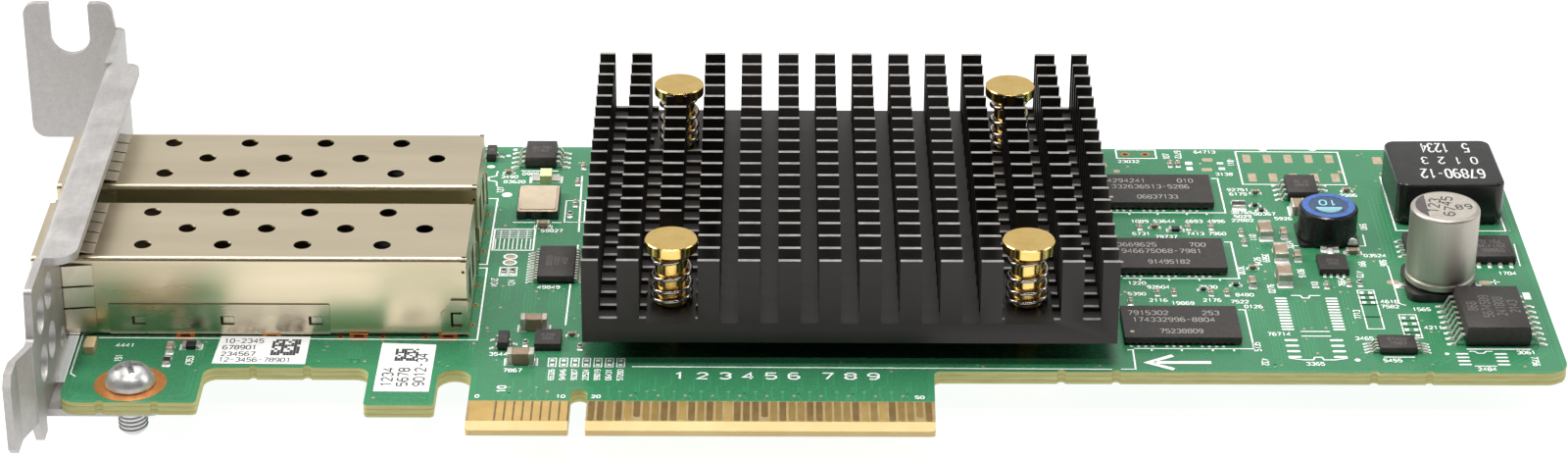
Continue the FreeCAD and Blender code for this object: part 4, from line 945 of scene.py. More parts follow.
def nearest(b, bodies):
    cx, cy = (b[0] + b[3]) / 2, (b[1] + b[4]) / 2
    best = min(bodies, key=lambda q: max(q[0] - cx, cx - q[3], 0) + max(q[1] - cy, cy - q[4], 0)
               + 0.001 * (abs((q[0] + q[3]) / 2 - cx) + abs((q[1] + q[4]) / 2 - cy)))
    dx = cx - (best[0] + best[3]) / 2
    dy = cy - (best[1] + best[4]) / 2
    hx, hy = (best[3] - best[0]) / 2, (best[4] - best[1]) / 2
    return (1 if dx > 0 else -1, 0) if abs(dx) / hx > abs(dy) / hy else (0, 1 if dy > 0 else -1)


def fillet(geo, b, d, reach, h, extra=0.06, lift=0.012):
    """Solder climbing the outer face of a terminal."""
    x0, y0, z0, x1, y1, z1 = b
    prof = [(-0.12, T - 0.01), (reach, T - 0.01), (reach, T + lift + 0.012), (reach * 0.62, T + lift + 0.10 * h + 0.02),
            (reach * 0.30, T + lift + 0.34 * h), (0.03, T + h), (-0.12, T + h)]
    rings = []
    if d[0]:
        xe = x1 if d[0] > 0 else x0
        ya, yb = y0 - extra, y1 + extra
        for y, k in ((ya, 0.80), (ya + 0.12, 1.0), (yb - 0.12, 1.0), (yb, 0.80)):
            rings.append([(xe + d[0] * a * (k if a > 0 else 1), y, T - 0.01 + (z - T + 0.01) * (k if z > T + 0.1 else 1)) for a, z in prof])
        if d[0] > 0:
            rings = [r[::-1] for r in rings]
    else:
        ye = y1 if d[1] > 0 else y0
        xa, xb = x0 - extra, x1 + extra
        for x, k in ((xa, 0.80), (xa + 0.12, 1.0), (xb - 0.12, 1.0), (xb, 0.80)):
            rings.append([(x, ye + d[1] * a * (k if a > 0 else 1), T - 0.01 + (z - T + 0.01) * (k if z > T + 0.1 else 1)) for a, z in prof])
        if d[1] < 0:
            rings = [r[::-1] for r in rings]
    geo.loft(rings)


def pad_under(geo, b, d, out, inner=0.15, side=0.06):
    x0, y0, z0, x1, y1, z1 = b
    if d[0] > 0:
        x0, x1, y0, y1 = x0 - inner, x1 + out, y0 - side, y1 + side
    elif d[0] < 0:
        x0, x1, y0, y1 = x0 - out, x1 + inner, y0 - side, y1 + side
    elif d[1] > 0:
        y0, y1, x0, x1 = y0 - inner, y1 + out, x0 - side, x1 + side
    else:
        y0, y1, x0, x1 = y0 - out, y1 + inner, x0 - side, x1 + side
    geo.rbox(x0, x1, y0, y1, T - 0.02, T + 0.030, min(0.10, (x1 - x0) / 4, (y1 - y0) / 4), 0.008, n=2)
    take(x0, y0, x1, y1)


for ends, bodies_of in (("chip_capacitor_ends", "chip_capacitors"), ("chip_resistor_ends", "chip_resistors"),
                        ("signal_inductor_ends", "signal_inductor")):
    bodies = islands(bodies_of)
    for b in islands(ends):
        d = nearest(b, bodies)
        size = min(b[3] - b[0], b[4] - b[1]) + 0.6 * max(b[3] - b[0], b[4] - b[1])
        h = b[5] - T
        reach = 0.12 + 0.10 * min(1.6, max(b[3] - b[0], b[4] - b[1]))
        pad_under(pads, b, d, reach + 0.10, 0.1, 0.06)
        fillet(solder, b, d, reach, h * (0.45 if h > 0.9 else 0.60), 0.02)

for leads_of, chips_of, out in (("power_chip_leads", "power_chip", 0.45), ("flash_chip_leads", "flash_chip", 0.45),
                                ("logic_chip_leads", "logic_chip", 0.35), ("buffer_chip_leads", "buffer_chip", 0.40),
                                ("power_transistor_leads", "power_transistors", 0.40),
                                ("regulator_leads", "regulator_chips", 0.25),
                                ("small_transistor_leads", "small_transistors", 0.30)):
    bodies = islands(chips_of)
    for b in islands(leads_of):
        d = nearest(b, bodies)
        foot = list(b)
        ln = 0.55
        if d[0] > 0:
            foot[0] = max(b[0], b[3] - ln)
        elif d[0] < 0:
            foot[3] = min(b[3], b[0] + ln)
        elif d[1] > 0:
            foot[1] = max(b[1], b[4] - ln)
        else:
            foot[4] = min(b[4], b[1] + ln)
        pad_under(pads, foot, d, out, 0.12, 0.03)
        fillet(solder, foot, d, out * 0.75, 0.17, 0.02)

# clips of the drum inductor, can leads
for b in islands("inductor_terminals"):
    d = (0, -1) if (b[1] + b[4]) / 2 < (mm_box("inductor_core")[1] + mm_box("inductor_core")[4]) / 2 else (0, 1)
    pad_under(pads, b, d, 0.85, 0.1, 0.05)
    cx = (b[0] + b[3]) / 2
    ye = b[1] if d[1] < 0 else b[4]
    solder.box(cx - 0.98, cx + 0.98, min(ye, ye - d[1] * 0.55), max(ye, ye - d[1] * 0.55), b[5] - 0.02, b[5] + 0.10, 0.03)
    solder.dome(cx, ye + d[1] * 0.75, 0.46, T + 0.01, 0.46, n=18, steps=5, sy=2.1)
for b in islands("capacitor_leads"):
    d = nearest(b, islands("capacitor_base"))
    foot = list(b)
    if d[0] > 0:
        foot[0] = b[3] - 0.5
    else:
        foot[3] = b[0] + 0.5
    pad_under(pads, foot, d, 0.55, 0.1, 0.10)
    fillet(solder, foot, d, 0.45, 0.26, 0.05)

# wire end soldered down at the foot of the drum
ib = mm_box("inductor_base")
solder.dome(ib[3] - 0.82, ib[1] + 0.32, 0.66, ib[5] - 0.05, 0.85, n=20, steps=6, sx=1.05, sy=0.42)

# -------------------------------------------------- bare footprints and pads
tin, tan, white, cop, holes_and_painted_shade = Geo(), Geo(), Geo(), Geo(), Geo()
PZ = (T - 0.02, T + 0.036)


def pad(geo, x, y, w, h, r=0.08):
    geo.rbox(x - w / 2, x + w / 2, y - h / 2, y + h / 2, PZ[0], PZ[1], min(r, w / 2.2, h / 2.2), 0.010, n=2)
    take(x - w / 2, y - h / 2, x + w / 2, y + h / 2)


def line(*pts, w=0.20, closed=False):
    white.ribbon(list(pts), w, SILK[0], SILK[1], closed)
    for a, b in zip(pts, pts[1:]):
        take(a[0], a[1], b[0], b[1])


def frame_box(x0, y0, x1, y1, w=0.18):
    line((x0, y0), (x1, y0), (x1, y1), (x0, y1), w=w, closed=True)
    take(x0, y0, x0, y1)


for i in range(5):              # two-row socket footprint at the back edge
    x = 79.95 + i * 2.55
    pad(tan, x + 0.0, 66.2, 1.00, 2.25)
    pad(tan, x + 0.15, 61.0, 1.00, 2.25)
line((78.73, 68.12), (91.40, 68.05), (91.43, 59.05), (78.74, 59.11), closed=True)
line((63.90, 66.13), (68.78, 66.13), (68.78, 68.50), (63.90, 68.50), closed=True)
for x in (64.99, 67.48):
    cop.disc(x, 67.28, 0.52, PZ[0], PZ[1], 16, sx=1.15)
    holes_and_painted_shade.disc(x, 67.28, 0.30, PZ[1] - 0.02, PZ[1] + 0.012, 12, sx=1.15)
    take(x - 0.6, 66.7, x + 0.6, 67.9)
for k in range(12):             # 24-pad footprint
    y = 29.9 - k * (29.9 - 22.5) / 11
    for x in (80.05, 85.90):
        pad(tin, x, y, 1.45, 0.38, 0.16)
for k in range(4):
    y = 19.95 - k * 3.86 / 3
    for x in (80.10, 85.25):
        pad(tin, x, y, 1.55, 0.46, 0.2)
    y = 16.89 - k * 2.45 / 3
    for x in (99.03, 103.37):
        pad(tin, x, y, 1.45, 0.34, 0.15)
line((81.3, 30.55), (82.4, 30.55), (82.6, 29.95), (83.3, 29.95), (83.5, 30.55), (84.7, 30.55))
line((81.4, 21.95), (84.75, 21.95))
line((81.4, 20.85), (84.75, 20.85))
line((80.9, 15.35), (82.1, 15.35), (82.3, 15.95), (83.1, 15.95), (83.3, 15.35), (84.5, 15.35))
line((79.4, 15.75), (80.9, 15.35))
line((84.5, 15.35), (86.0, 15.75))
white.disc(87.05, 15.35, 0.34, SILK[0], SILK[1], 14)
white.disc(97.32, 16.85, 0.26, SILK[0], SILK[1], 14)
line((99.9, 17.45), (100.5, 17.45), (100.8, 17.0), (101.5, 17.0), (101.8, 17.45), (102.5, 17.45), w=0.16)
line((100.0, 14.05), (102.5, 14.05), w=0.16)
# pads round the lone inductor and the small footprints
for x, y, w, h in ((72.65, 64.87, 0.9, 0.9), (76.53, 64.90, 0.8, 0.55), (76.62, 63.41, 0.8, 0.7), (72.64, 63.38, 0.8, 0.9)):
    pad(tin, x, y, w, h)
for x, y, w, h in ((75.05, 65.84, 1.3, 0.9), (74.74, 63.12, 1.3, 0.9), (96.05, 65.79, 1.15, 2.0),
                   (91.1, 62.6, 0.7, 0.7), (61.9, 64.3, 1.2, 1.2), (63.6, 62.6, 0.8, 0.8)):
    pad(tan, x, y, w, h, 0.2)
pad(tin, 108.64, 30.66, 0.85, 1.7)
pad(tan, 93.62, 33.93, 1.5, 1.0, 0.4)
pad(tan, 104.33, 33.85, 1.5, 1.0, 0.4)
line((104.9, 34.0), (106.1, 34.0), w=0.18)
line((105.5, 33.4), (105.5, 34.6), w=0.18)
# memory chip outlines
for b in islands("memory_chips"):
    x0, y0, x1, y1 = b[0], b[1], b[3], b[4]
    line((x1 + 0.45, y1 + 0.95), (x1 + 1.25, y1 + 0.95), (x1 + 1.3, y0 - 0.75), (x0 + 1.0, y0 - 0.75))
    for dx in (3.0, 6.4, 9.9, 12.3):
        line((x0 + dx, y0 - 0.75), (x0 + dx, y0 - 1.30), w=0.22)
for b in islands("memory_chips"):   # a row of bright tin dashes along the near edge
    n = int((b[3] - b[0]) / 0.8) - 1
    for k in range(n):
        x = b[0] + 0.8 + k * 0.8
        if (k * 7) % 5 != 3:
            tin.rbox(x - 0.17, x + 0.17, b[1] - 0.36, b[1] - 0.04, PZ[0], PZ[1], 0.08, n=2)
# arrow, bracket of the heat sink outline, long line
line((64.2, 14.64), (70.55, 14.68), w=0.62)
line((66.35, 16.25), (63.45, 14.62), (66.25, 13.10), w=0.58)
line((61.35, 17.55), (61.98, 17.56), (61.95, 13.10), (60.30, 13.10))
line((5.67, 13.32), (59.30, 13.06), w=0.22)
for k in range(7):              # row of boxed footprints
    x = -3.30 + 1.28 * k
    frame_box(x - 0.43, 13.25, x + 0.43, 15.20, 0.12)
    pad(tin, x, 13.75, 0.46, 0.50)
    pad(tin, x, 14.72, 0.46, 0.50)
    white.digits(number(5), x + 0.02, 11.45, 0.62, 90, 0.11, gap=1.30)
    take(x - 0.5, 10.1, x + 0.5, 12.9)
# print along the heat sink, the cages and the left edge
line((-2.01, 60.74), (-1.75, 45.9))
line((-3.61, 54.11), (-1.30, 54.11), (-1.23, 48.44), (-3.61, 48.44), w=0.16, closed=True)
line((-2.14, 32.79), (-2.23, 22.87))
line((-1.67, 42.62), (-1.72, 40.9))
line((-54.84, 19.62), (-12.04, 19.35), (-12.06, 36.70), (-13.00, 36.70))
line((-13.05, 37.60), (-12.13, 37.59), (-11.94, 54.58), (-13.00, 54.60))
line((-12.41, 62.0), (-12.50, 60.7), (-13.45, 60.3), (-13.35, 59.5), (-12.40, 59.2), (-12.27, 58.0))
line((-55.1, 21.0), (-56.75, 20.43), (-56.75, 11.41), (-56.1, 10.75), w=0.18)
line((95.80, 61.40), (95.78, 47.00), (108.85, 46.92), (108.82, 50.51))
line((82.9, 43.2), (83.2, 42.95), (91.6, 42.95), (91.65, 45.9), w=0.18)
line((-9.75, 48.35), (-7.1, 48.35))
line((-5.1, 48.35), (-3.95, 48.35))
line((-9.55, 62.15), (-5.0, 62.15), w=0.22)
line((99.7, 17.95), (107.0, 17.95), w=0.22)
line((90.1, 16.05), (93.6, 16.05), w=0.18)
line((93.55, 37.9), (93.60, 28.7), (94.3, 28.2), w=0.16)
line((109.1, 38.0), (109.3, 43.6), w=0.16)
# chained frames
for x0, x1, ys in ((89.15, 91.05, (31.9, 30.75, 29.55, 28.4, 25.5, 22.6)), (93.15, 95.10, (26.0, 24.6, 23.2, 21.8, 20.5))):
    for a, b2 in zip(ys, ys[1:]):
        frame_box(x0, b2, x1, a, 0.15)
        if a - b2 < 1.6:
            pad(tin, x0 + 0.45, (a + b2) / 2, 0.5, 0.55)
            pad(tin, x1 - 0.45, (a + b2) / 2, 0.5, 0.55)
# rings, ovals, test points
white.ring(-10.88, 55.63, 0.32, 0.62, SILK[0], SILK[1], 22)
tin.disc(-10.88, 55.63, 0.28, PZ[0], PZ[1], 14)
white.ring(-9.49, 39.58, 0.50, 0.74, SILK[0], SILK[1], 24, sx=1.15)
white.ring(-9.49, 38.10, 0.50, 0.74, SILK[0], SILK[1], 24, sx=1.15)
for y in (39.58, 38.10):
    tan.disc(-9.49, y, 0.42, PZ[0], PZ[1], 18, sx=1.15)
for x, y in ((-11.35, 66.3), (-10.6, 68.0)):
    white.disc(x, y, 0.30, SILK[0], SILK[1], 14)
tin.disc(-13.3, 63.3, 0.42, PZ[0], PZ[1], 16, sx=1.2)
for b in islands("chip_resistors"):
    w, h = b[3] - b[0], b[4] - b[1]
    if -12 < b[0] < -7 and 34 < b[1] < 38:
        cx, cy = (b[0] + b[3]) / 2, (b[1] + b[4]) / 2
        frame_box(cx - 0.47, cy - 1.05, cx + 0.47, cy + 1.05, 0.16)
# generic block: a hatched square beside the logic chip
frame_box(-11.75, 41.2, -6.95, 46.6, 0.22)
for k in range(9):
    x = -11.5 + k * 0.52
    line((x, 41.45), (x + 0.0, 46.35) if k % 2 else (x, 44.1), w=0.13)
for k in range(5):
    line((-11.5, 44.4 + 0.45 * k), (-7.3, 44.4 + 0.45 * k), w=0.11)
take(-11.9, 41.0, -6.8, 46.8)

# copper rings round the screws, orange pads and painted shade strips at the cage legs, gold dots
for b in islands("bracket_screws"):
    cx, cy = (b[0] + b[3]) / 2, (b[1] + b[4]) / 2
    cop.ring(cx, cy, 1.62, 4.0, T - 0.02, T + 0.030, 48)
    take(cx - 4, cy - 4, cx + 4, cy + 4)
    cop.ring(cx, cy, 3.25, 3.95, -0.030, 0.02, 48)
CAGE_LEG_X = [-45.12, -35.36, -25.48, -15.37]
for tag in "ab":
    cb = mm_box("cage_cover_" + tag)
    cbase = mm_box("cage_base_" + tag)
    for y, yo, s in ((cb[1], cbase[1], -1), (cb[4], cbase[4], 1)):
        for x in CAGE_LEG_X:
            cop.rbox(x - 1.05, x + 1.05, min(y - s * 0.29, y + s * 1.25), max(y - s * 0.29, y + s * 1.25), T - 0.02, T + 0.034, 0.25)
            cop.box(x - 1.05, x + 1.05, min(yo - s * 0.02, yo + s * 0.05), max(yo - s * 0.02, yo + s * 0.05), T + 0.02, T + 0.38, 0.02)
            # painted shade: a dark band low on each leg's copper strip at the flange
            holes_and_painted_shade.box(x - 0.55, x + 0.55, min(yo, yo + s * 0.056), max(yo, yo + s * 0.056), T + 0.02, T + 0.20)
            cop.ring(x, y - s * 0.125, 0.60, 1.05, -0.036, 0.02, 20)
            # painted shade: a dark patch on the pad just in front of the flange
            holes_and_painted_shade.rbox(x - 0.60, x + 0.60, min(yo + s * 0.05, yo + s * 0.30), max(yo + s * 0.05, yo + s * 0.30), T + 0.02, T + 0.044, 0.08, n=2)
        # painted shade: a thin dark strip along the whole foot of the flange
        holes_and_painted_shade.box(cbase[0] + 0.5, cbase[3] - 0.3, min(yo - s * 0.02, yo + s * 0.02), max(yo - s * 0.02, yo + s * 0.02), T + 0.016, T + 0.10)
    yc = (cb[1] + cb[4]) / 2
    for d in (-4.75, 0.0, 4.8):
        cop.disc(-12.80, yc + 0.3 + d, 0.33, T - 0.02, T + 0.034, 14)
        holes_and_painted_shade.disc(-12.80, yc + 0.3 + d, 0.17, T + 0.02, T + 0.044, 10)
        cop.ring(-12.80, yc + 0.3 + d, 0.20, 0.42, -0.034, 0.02, 18)
        take(-13.4, yc + d - 0.4, -12.2, yc + d + 1.0)
for x in (-27.59, -22.80, -17.91):
    cop.disc(x, 20.05, 0.45, PZ[0], PZ[1], 16)
    holes_and_painted_shade.disc(x, 20.05, 0.20, PZ[1] - 0.02, PZ[1] + 0.012, 10)

# ------------------------------------------------------ plain number marks
H_MARKS = [(63.72, 33.48), (63.5, 30.84), (66.14, 32.53), (65.87, 29.3), (71.95, 32.57), (72.09, 29.35), (75.97, 30.68),
           (75.23, 29.01), (76.68, 27.84), (68.63, 28.61), (82.21, 14.45), (78.9, 21.33), (88.31, 23.58),
           (88.47, 20.35), (74.9, 67.96), (65.26, 65.28), (76.72, 61.85), (77.96, 57.6), (77.88, 56.44),
           (77.8, 51.6), (77.82, 50.54), (77.71, 49.51), (65.31, 49.17), (68.28, 49.19), (71.81, 49.22), (74.51, 49.23),
           (65.25, 45.96), (68.16, 45.19), (71.69, 46.0), (74.31, 46.02), (80.51, 51.2), (82.63, 50.0), (84.37, 41.22),
           (91.25, 56.24), (-8.3, 61.35), (-10.87, 60.49), (-10.19, 59.16), (-4.99, 46.2), (-11.3, 39.57),
           (-11.2, 38.09), (92.38, 40.53), (107.29, 36.2), (92.51, 29.13), (92.43, 27.94), (95.96, 27.3),
           (96.73, 25.75), (96.73, 24.35), (96.68, 22.95), (91.0, 15.27), (106.29, 17.2), (101.3, 13.35), (-2.4, 12.65),
           (-7.65, 12.42), (-4.63, 32.0), (-3.9, 20.9), (-9.45, 16.1), (-51.6, 17.9), (-53.4, 7.1)]
V_MARKS = [(78.39, 38.95), (79.43, 39.85), (76.2, 36.73), (79.24, 32.2), (83.18, 36.04), (84.43, 33.14), (87.61, 33.88),
           (90.6, 38.29), (76.11, 18.33), (76.61, 14.83), (88.41, 26.03), (78.47, 45.06), (82.63, 43.21), (91.99, 47.9),
           (77.88, 64.92), (-10.98, 33.11), (-8.99, 33.02), (-11.78, 56.94), (89.96, 35.8), (93.1, 38.64), (106.99, 15.18),
           (70.04, 66.68), (71.51, 67.24), (79.68, 43.2), (-51.9, 14.9), (-50.6, 17.0), (-43.9, 14.4), (-0.45, 15.6)]
for x, y in H_MARKS:
    n = rnd.choice((4, 4, 5))
    half = 0.50 * n / 2
    if inside(x, y) and free(x - half, y - 0.32, x + half, y + 0.32, -0.05):
        white.digits(number(n), x, y, 0.72, 0, 0.135, wide=0.52, gap=1.45)
        take(x - half, y - 0.36, x + half, y + 0.36)
for x, y in V_MARKS:
    n = rnd.choice((3, 4))
    half = 0.50 * n / 2
    if inside(x, y) and free(x - 0.32, y - half, x + 0.32, y + half, -0.05):
        white.digits(number(n), x, y, 0.72, rnd.choice((90, 270)), 0.135, wide=0.52, gap=1.45)
        take(x - 0.36, y - half, x + 0.36, y + half)
# a scale of plain numerals where the long front strip is printed
for k in range(9):
    white.digits(str(k + 1), 11.0 + k * 2.55 + (1.2 if k > 5 else 0), 11.30, 1.35, 0, 0.24, wide=0.85)
take(9.5, 10.3, 34.0, 12.3)
for x, y, s in ((-11.2, 6.6, "0"), (-2.0, 6.6, "10"), (1.9, 6.6, "20"), (37.6, 6.6, "50")):
    white.digits(s, x, y, 0.62, 0, 0.13)
    take(x - 0.8, y - 0.5, x + 0.8, y + 0.5)
white.digits("10", -8.6, 8.2, 0.9, 90, 0.2)

# --------------------------------------------------------- traces and vias
traces = Geo()
TZ = (T + 0.002, T + 0.024)


def par(pts, d):
    out = []
    n = len(pts)
    for i in range(n):
        d1 = unit(pts[i - 1], pts[i]) if i else unit(pts[0], pts[1])
        d2 = unit(pts[i], pts[i + 1]) if i < n - 1 else d1
        nx, ny = -(d1[1] + d2[1]), d1[0] + d2[0]
        ln = math.hypot(nx, ny)
        if ln < 0.2:
            nx, ny, ln = -d1[1], d1[0], 1.0
        nx, ny = nx / ln, ny / ln
        h = d / max(nx * -d1[1] + ny * d1[0], 0.5)
        out.append((pts[i][0] + nx * h, pts[i][1] + ny * h))
    return out


via_spots = []


def bundle(pts, n, pitch=0.42, w=0.17, ends=True):
    for k in range(n):
        q = par(pts, (k - (n - 1) / 2) * pitch)
        q[0] = (q[0][0] + rnd.uniform(-0.5, 0.5) * (1 if abs(q[1][0] - q[0][0]) > abs(q[1][1] - q[0][1]) else 0),
                q[0][1] + rnd.uniform(-0.5, 0.5) * (0 if abs(q[1][0] - q[0][0]) > abs(q[1][1] - q[0][1]) else 1))
        traces.ribbon(q, w, TZ[0], TZ[1])
        if ends:
            via_spots.append(q[0])
            via_spots.append(q[-1])


bundle([(-11.2, 22.0), (-8.5, 22.0), (-6.6, 24.0), (-6.6, 31.0)], 4)
bundle([(-11.4, 27.0), (-9.5, 28.9), (-9.5, 32.3)], 3)
bundle([(-1.2, 24.5), (-3.6, 26.9), (-3.6, 31.6)], 5, 0.38, 0.15)
bundle([(-11.3, 52.0), (-10.4, 51.1), (-10.4, 47.6)], 2)
bundle([(-0.9, 34.0), (-1.2, 34.3), (-1.2, 46.0)], 2)
bundle([(-10.7, 64.3), (-10.2, 63.8), (-10.2, 62.6)], 2)
for y0 in (27.6, 44.5, 61.3):
    bundle([(61.5, y0 - 0.6), (63.0, y0 + 0.9), (70.5, y0 + 0.9), (72.0, y0 + 2.0)], 5, 0.36, 0.14)
    bundle([(62.0, y0 + 3.2), (66.0, y0 + 3.2), (67.2, y0 + 4.4), (75.0, y0 + 4.4)], 4, 0.36, 0.14)
bundle([(77.0, 13.9), (78.6, 15.5), (78.6, 21.0), (76.9, 22.7), (76.9, 27.0)], 5, 0.40, 0.15)
bundle([(82.1, 16.6), (82.1, 20.2)], 4, 0.44, 0.15)
bundle([(81.9, 22.8), (81.9, 29.2)], 5, 0.44, 0.15)
bundle([(84.2, 22.6), (84.2, 29.0)], 2, 0.44, 0.15)
bundle([(87.6, 16.2), (89.0, 17.6), (89.0, 20.2), (87.6, 21.6), (87.6, 31.5)], 3, 0.42, 0.16)
bundle([(95.9, 14.3), (97.9, 16.3), (97.9, 17.9), (96.5, 19.3), (96.5, 22.0)], 4, 0.40, 0.15)
bundle([(105.2, 14.2), (108.7, 17.7), (108.7, 27.5)], 4, 0.42, 0.16)
bundle([(92.0, 58.0), (94.3, 55.7), (94.3, 40.3), (92.6, 38.6)], 4, 0.5, 0.2)
bundle([(94.2, 67.2), (109.2, 67.2), (109.8, 66.6), (109.8, 62.0)], 3, 0.5, 0.2)
bundle([(109.6, 60.0), (109.6, 47.0)], 2, 0.5, 0.2)
bundle([(69.6, 60.9), (76.5, 60.9), (77.4, 61.8), (77.4, 66.0)], 3, 0.40, 0.15)
bundle([(78.6, 50.0), (78.6, 41.2), (79.4, 40.4), (79.4, 36.5)], 3, 0.42, 0.16)
bundle([(86.6, 35.0), (86.6, 32.6)], 3, 0.42, 0.15)
bundle([(44.0, 13.9), (58.0, 13.9)], 1, 0.4, 0.15)
bundle([(-56.0, 10.0), (-56.0, 7.2), (-55.0, 6.2), (-44.0, 6.2), (-43.2, 7.0), (-43.2, 12.2)], 2, 0.45, 0.18)
bundle([(-44.6, 13.3), (-42.8, 15.1), (-42.8, 18.7)], 2, 0.42, 0.16)
bundle([(-29.3, 18.4), (-27.0, 18.4), (-25.6, 17.0), (-25.6, 14.2)], 4, 0.42, 0.16)
bundle([(-29.8, 14.6), (-24.3, 14.6)], 2, 0.42, 0.16)
bundle([(-22.9, 6.2), (-17.0, 6.2)], 1, 0.42, 0.16)
bundle([(-15.6, 13.8), (-13.0, 16.4), (-13.0, 18.6)], 4, 0.42, 0.16)
for k, x in enumerate(xs):      # contacts to their first vias
    if k in (1, 2):
        continue
    top = 6.9 + 0.85 * ((k * 5) % 3)
    dx = (0.25, -0.25, 0.0)[k % 3]
    if not free(x + dx - 0.3, 6.0, x + dx + 0.3, top, 0.0):
        continue
    traces.ribbon([(x, 5.4), (x, 6.3), (x + dx, 6.3 + abs(dx)), (x + dx, top)], 0.19, TZ[0], TZ[1])
    if k % 2:
        traces.ribbon([(x + dx, top), (x + dx + 0.9, top + 0.9), (x + dx + 0.9, min(top + 3.6, 12.0))], 0.17, TZ[0], TZ[1])
    via_spots.append((x + dx, top))
tries = 0
while len(via_spots) < 560 and tries < 6000:
    tries += 1
    via_spots.append((rnd.uniform(-56.0, 109.5), rnd.uniform(5.9, 68.0)))
rings_t = Geo()
placed = 0
for i, (x, y) in enumerate(via_spots):
    if not inside(x, y) or (0.0 < x < 60.0 and 14.6 < y < 68.5) or (-54 < x < -13.5 and y > 20.2):
        continue
    if not free(x - 0.26, y - 0.26, x + 0.26, y + 0.26, 0.04):
        continue
    take(x - 0.26, y - 0.26, x + 0.26, y + 0.26)
    placed += 1
    if i % 3 == 0:
        traces.disc(x, y, 0.30, TZ[0], T + 0.028, 10)
        rings_t.disc(x, y, 0.12, T, T + 0.034, 8)
    elif i % 3 == 1:
        rings_t.disc(x, y, 0.20, T, T + 0.030, 9)
    else:
        traces.disc(x, y, 0.26, TZ[0], T + 0.028, 10)
piece("board_traces", traces, "trace")
piece("via_dots", rings_t, "tan_pad")

piece("bare_pads", tin, "pad_tin")
piece("footprint_pads", tan, "tan_pad")
piece("copper_rings", cop, "copper")
piece("via_holes_and_painted_shade", holes_and_painted_shade, "via_hole")
piece("part_pads", pads, "pad_tin")
piece("solder_joints", solder, "solder", smooth=50)
piece("board_print", white, "silk")


# ------------------------------------------------ plain marks on the parts
def zt_of(b):
    return (b[5] - 0.02, b[5] + 0.010)


grey, faint, tan_dot = Geo(), Geo(), Geo()
for b in islands("memory_chips"):
    x0, y0 = b[0], b[1]
    z = zt_of(b)
    grey.digits(number(7), x0 + 3.10, y0 + 5.75, 0.95, 0, 0.12, z=z, wide=0.50, gap=1.43)
    grey.digits(number(3), x0 + 10.25, y0 + 5.75, 0.95, 0, 0.12, z=z, wide=0.50, gap=1.43)
    grey.digits(number(9) + "-" + number(4), x0 + 5.90, y0 + 4.15, 0.95, 0, 0.12, z=z, wide=0.50, gap=1.43)
    grey.digits(number(8), x0 + 6.55, y0 + 1.45, 0.95, 0, 0.12, z=z, wide=0.46, gap=1.43)
    tan_dot.disc(x0 + 0.95, y0 + 1.35, 0.26, z[0], z[1], 14)
piece("memory_chip_marks", grey, "grey_print")
piece("pin_one_dots", tan_dot, "tan_pad")


def rows(box, lines, ang, h, w=None, wide=0.5, geo=faint, lead=1.5):
    cx, cy = (box[0] + box[3]) / 2, (box[1] + box[4]) / 2
    z = zt_of(box)
    c, s = math.cos(math.radians(ang)), math.sin(math.radians(ang))
    for i, t in enumerate(lines):
        d = ((len(lines) - 1) / 2 - i) * h * lead
        geo.digits(t, cx - d * s, cy + d * c, h, ang, w or h * 0.13, z=z, wide=wide)


b = mm_box("power_chip")
rows(b, [number(3), number(7), number(6), number(4)], 90, 1.05)
rows(mm_box("flash_chip"), [number(6), number(5)], 0, 0.55)
rows(mm_box("logic_chip"), [number(6), number(5), number(4)], 90, 0.60)
rows(mm_box("buffer_chip"), [number(5), number(4)], 0, 0.65)
for b in islands("power_transistors"):
    if b[3] - b[0] > 4.5:
        rows(b, [number(5), number(6), number(5)], 180, 0.78, lead=1.45)
    else:
        rows(b, [number(4), number(4)], 180, 0.62)
for b in islands("regulator_chips"):
    if min(b[3] - b[0], b[4] - b[1]) > 2.0:
        rows(b, [number(4), number(3)], 0, 0.55)
for b in islands("small_transistors"):
    rows(b, [number(2)], 0, 0.5)
piece("chip_marks", faint, "faint_print")

# choke, drum inductor, can: plain numerals, read from behind
b = mm_box("choke_body")
ink = Geo()
z = (b[5] - 0.02, b[5] + 0.012)
ink.digits("1234", 101.55, 58.30, 2.25, 180, 0.24, z=z, wide=0.27, gap=1.42)
ink.digits("5", 105.35, 58.30, 2.25, 180, 0.24, z=z, wide=0.27)
ink.digits("0 1 2 3", 102.9, 54.85, 1.7, 180, 0.20, z=z, wide=0.40, gap=1.45)
ink.digits("67890-12", 102.75, 51.35, 2.25, 180, 0.25, z=z, wide=0.29, gap=1.50)
piece("choke_numerals", ink, "white_ink")

b = mm_box("inductor_core")
ix, iy, iz = (b[0] + b[3]) / 2, (b[1] + b[4]) / 2, b[5]
g = Geo()
g.m = 0
g.ring(ix, iy, 2.38, 3.13, iz - 0.10, iz + 0.05, 56)
g.m = 1
g.disc(ix, iy, 2.40, iz - 0.05, iz + 0.02, 48)
g.m = 2
arc = [(ix - 1.55, iy - 0.42)] + [(ix + 1.55 * math.cos(math.radians(a)), iy - 0.42 - 1.35 * math.sin(math.radians(a)))
                                  for a in range(165, 0, -15)] + [(ix + 1.55, iy - 0.42)]
g.prism(arc[::-1], iz + 0.01, iz + 0.035)
g.digits("10", ix, iy + 0.75, 1.25, 180, 0.20, z=(iz + 0.01, iz + 0.035), wide=0.62, gap=1.5)
g.m = 1
for k in range(3):
    g.box(ix - 1.7, ix + 1.7, iy - 0.95 - 0.32 * k, iy - 0.87 - 0.32 * k, iz + 0.02, iz + 0.042)
piece("inductor_top_print", g, ["blue_ring", "navy", "light_blue"])

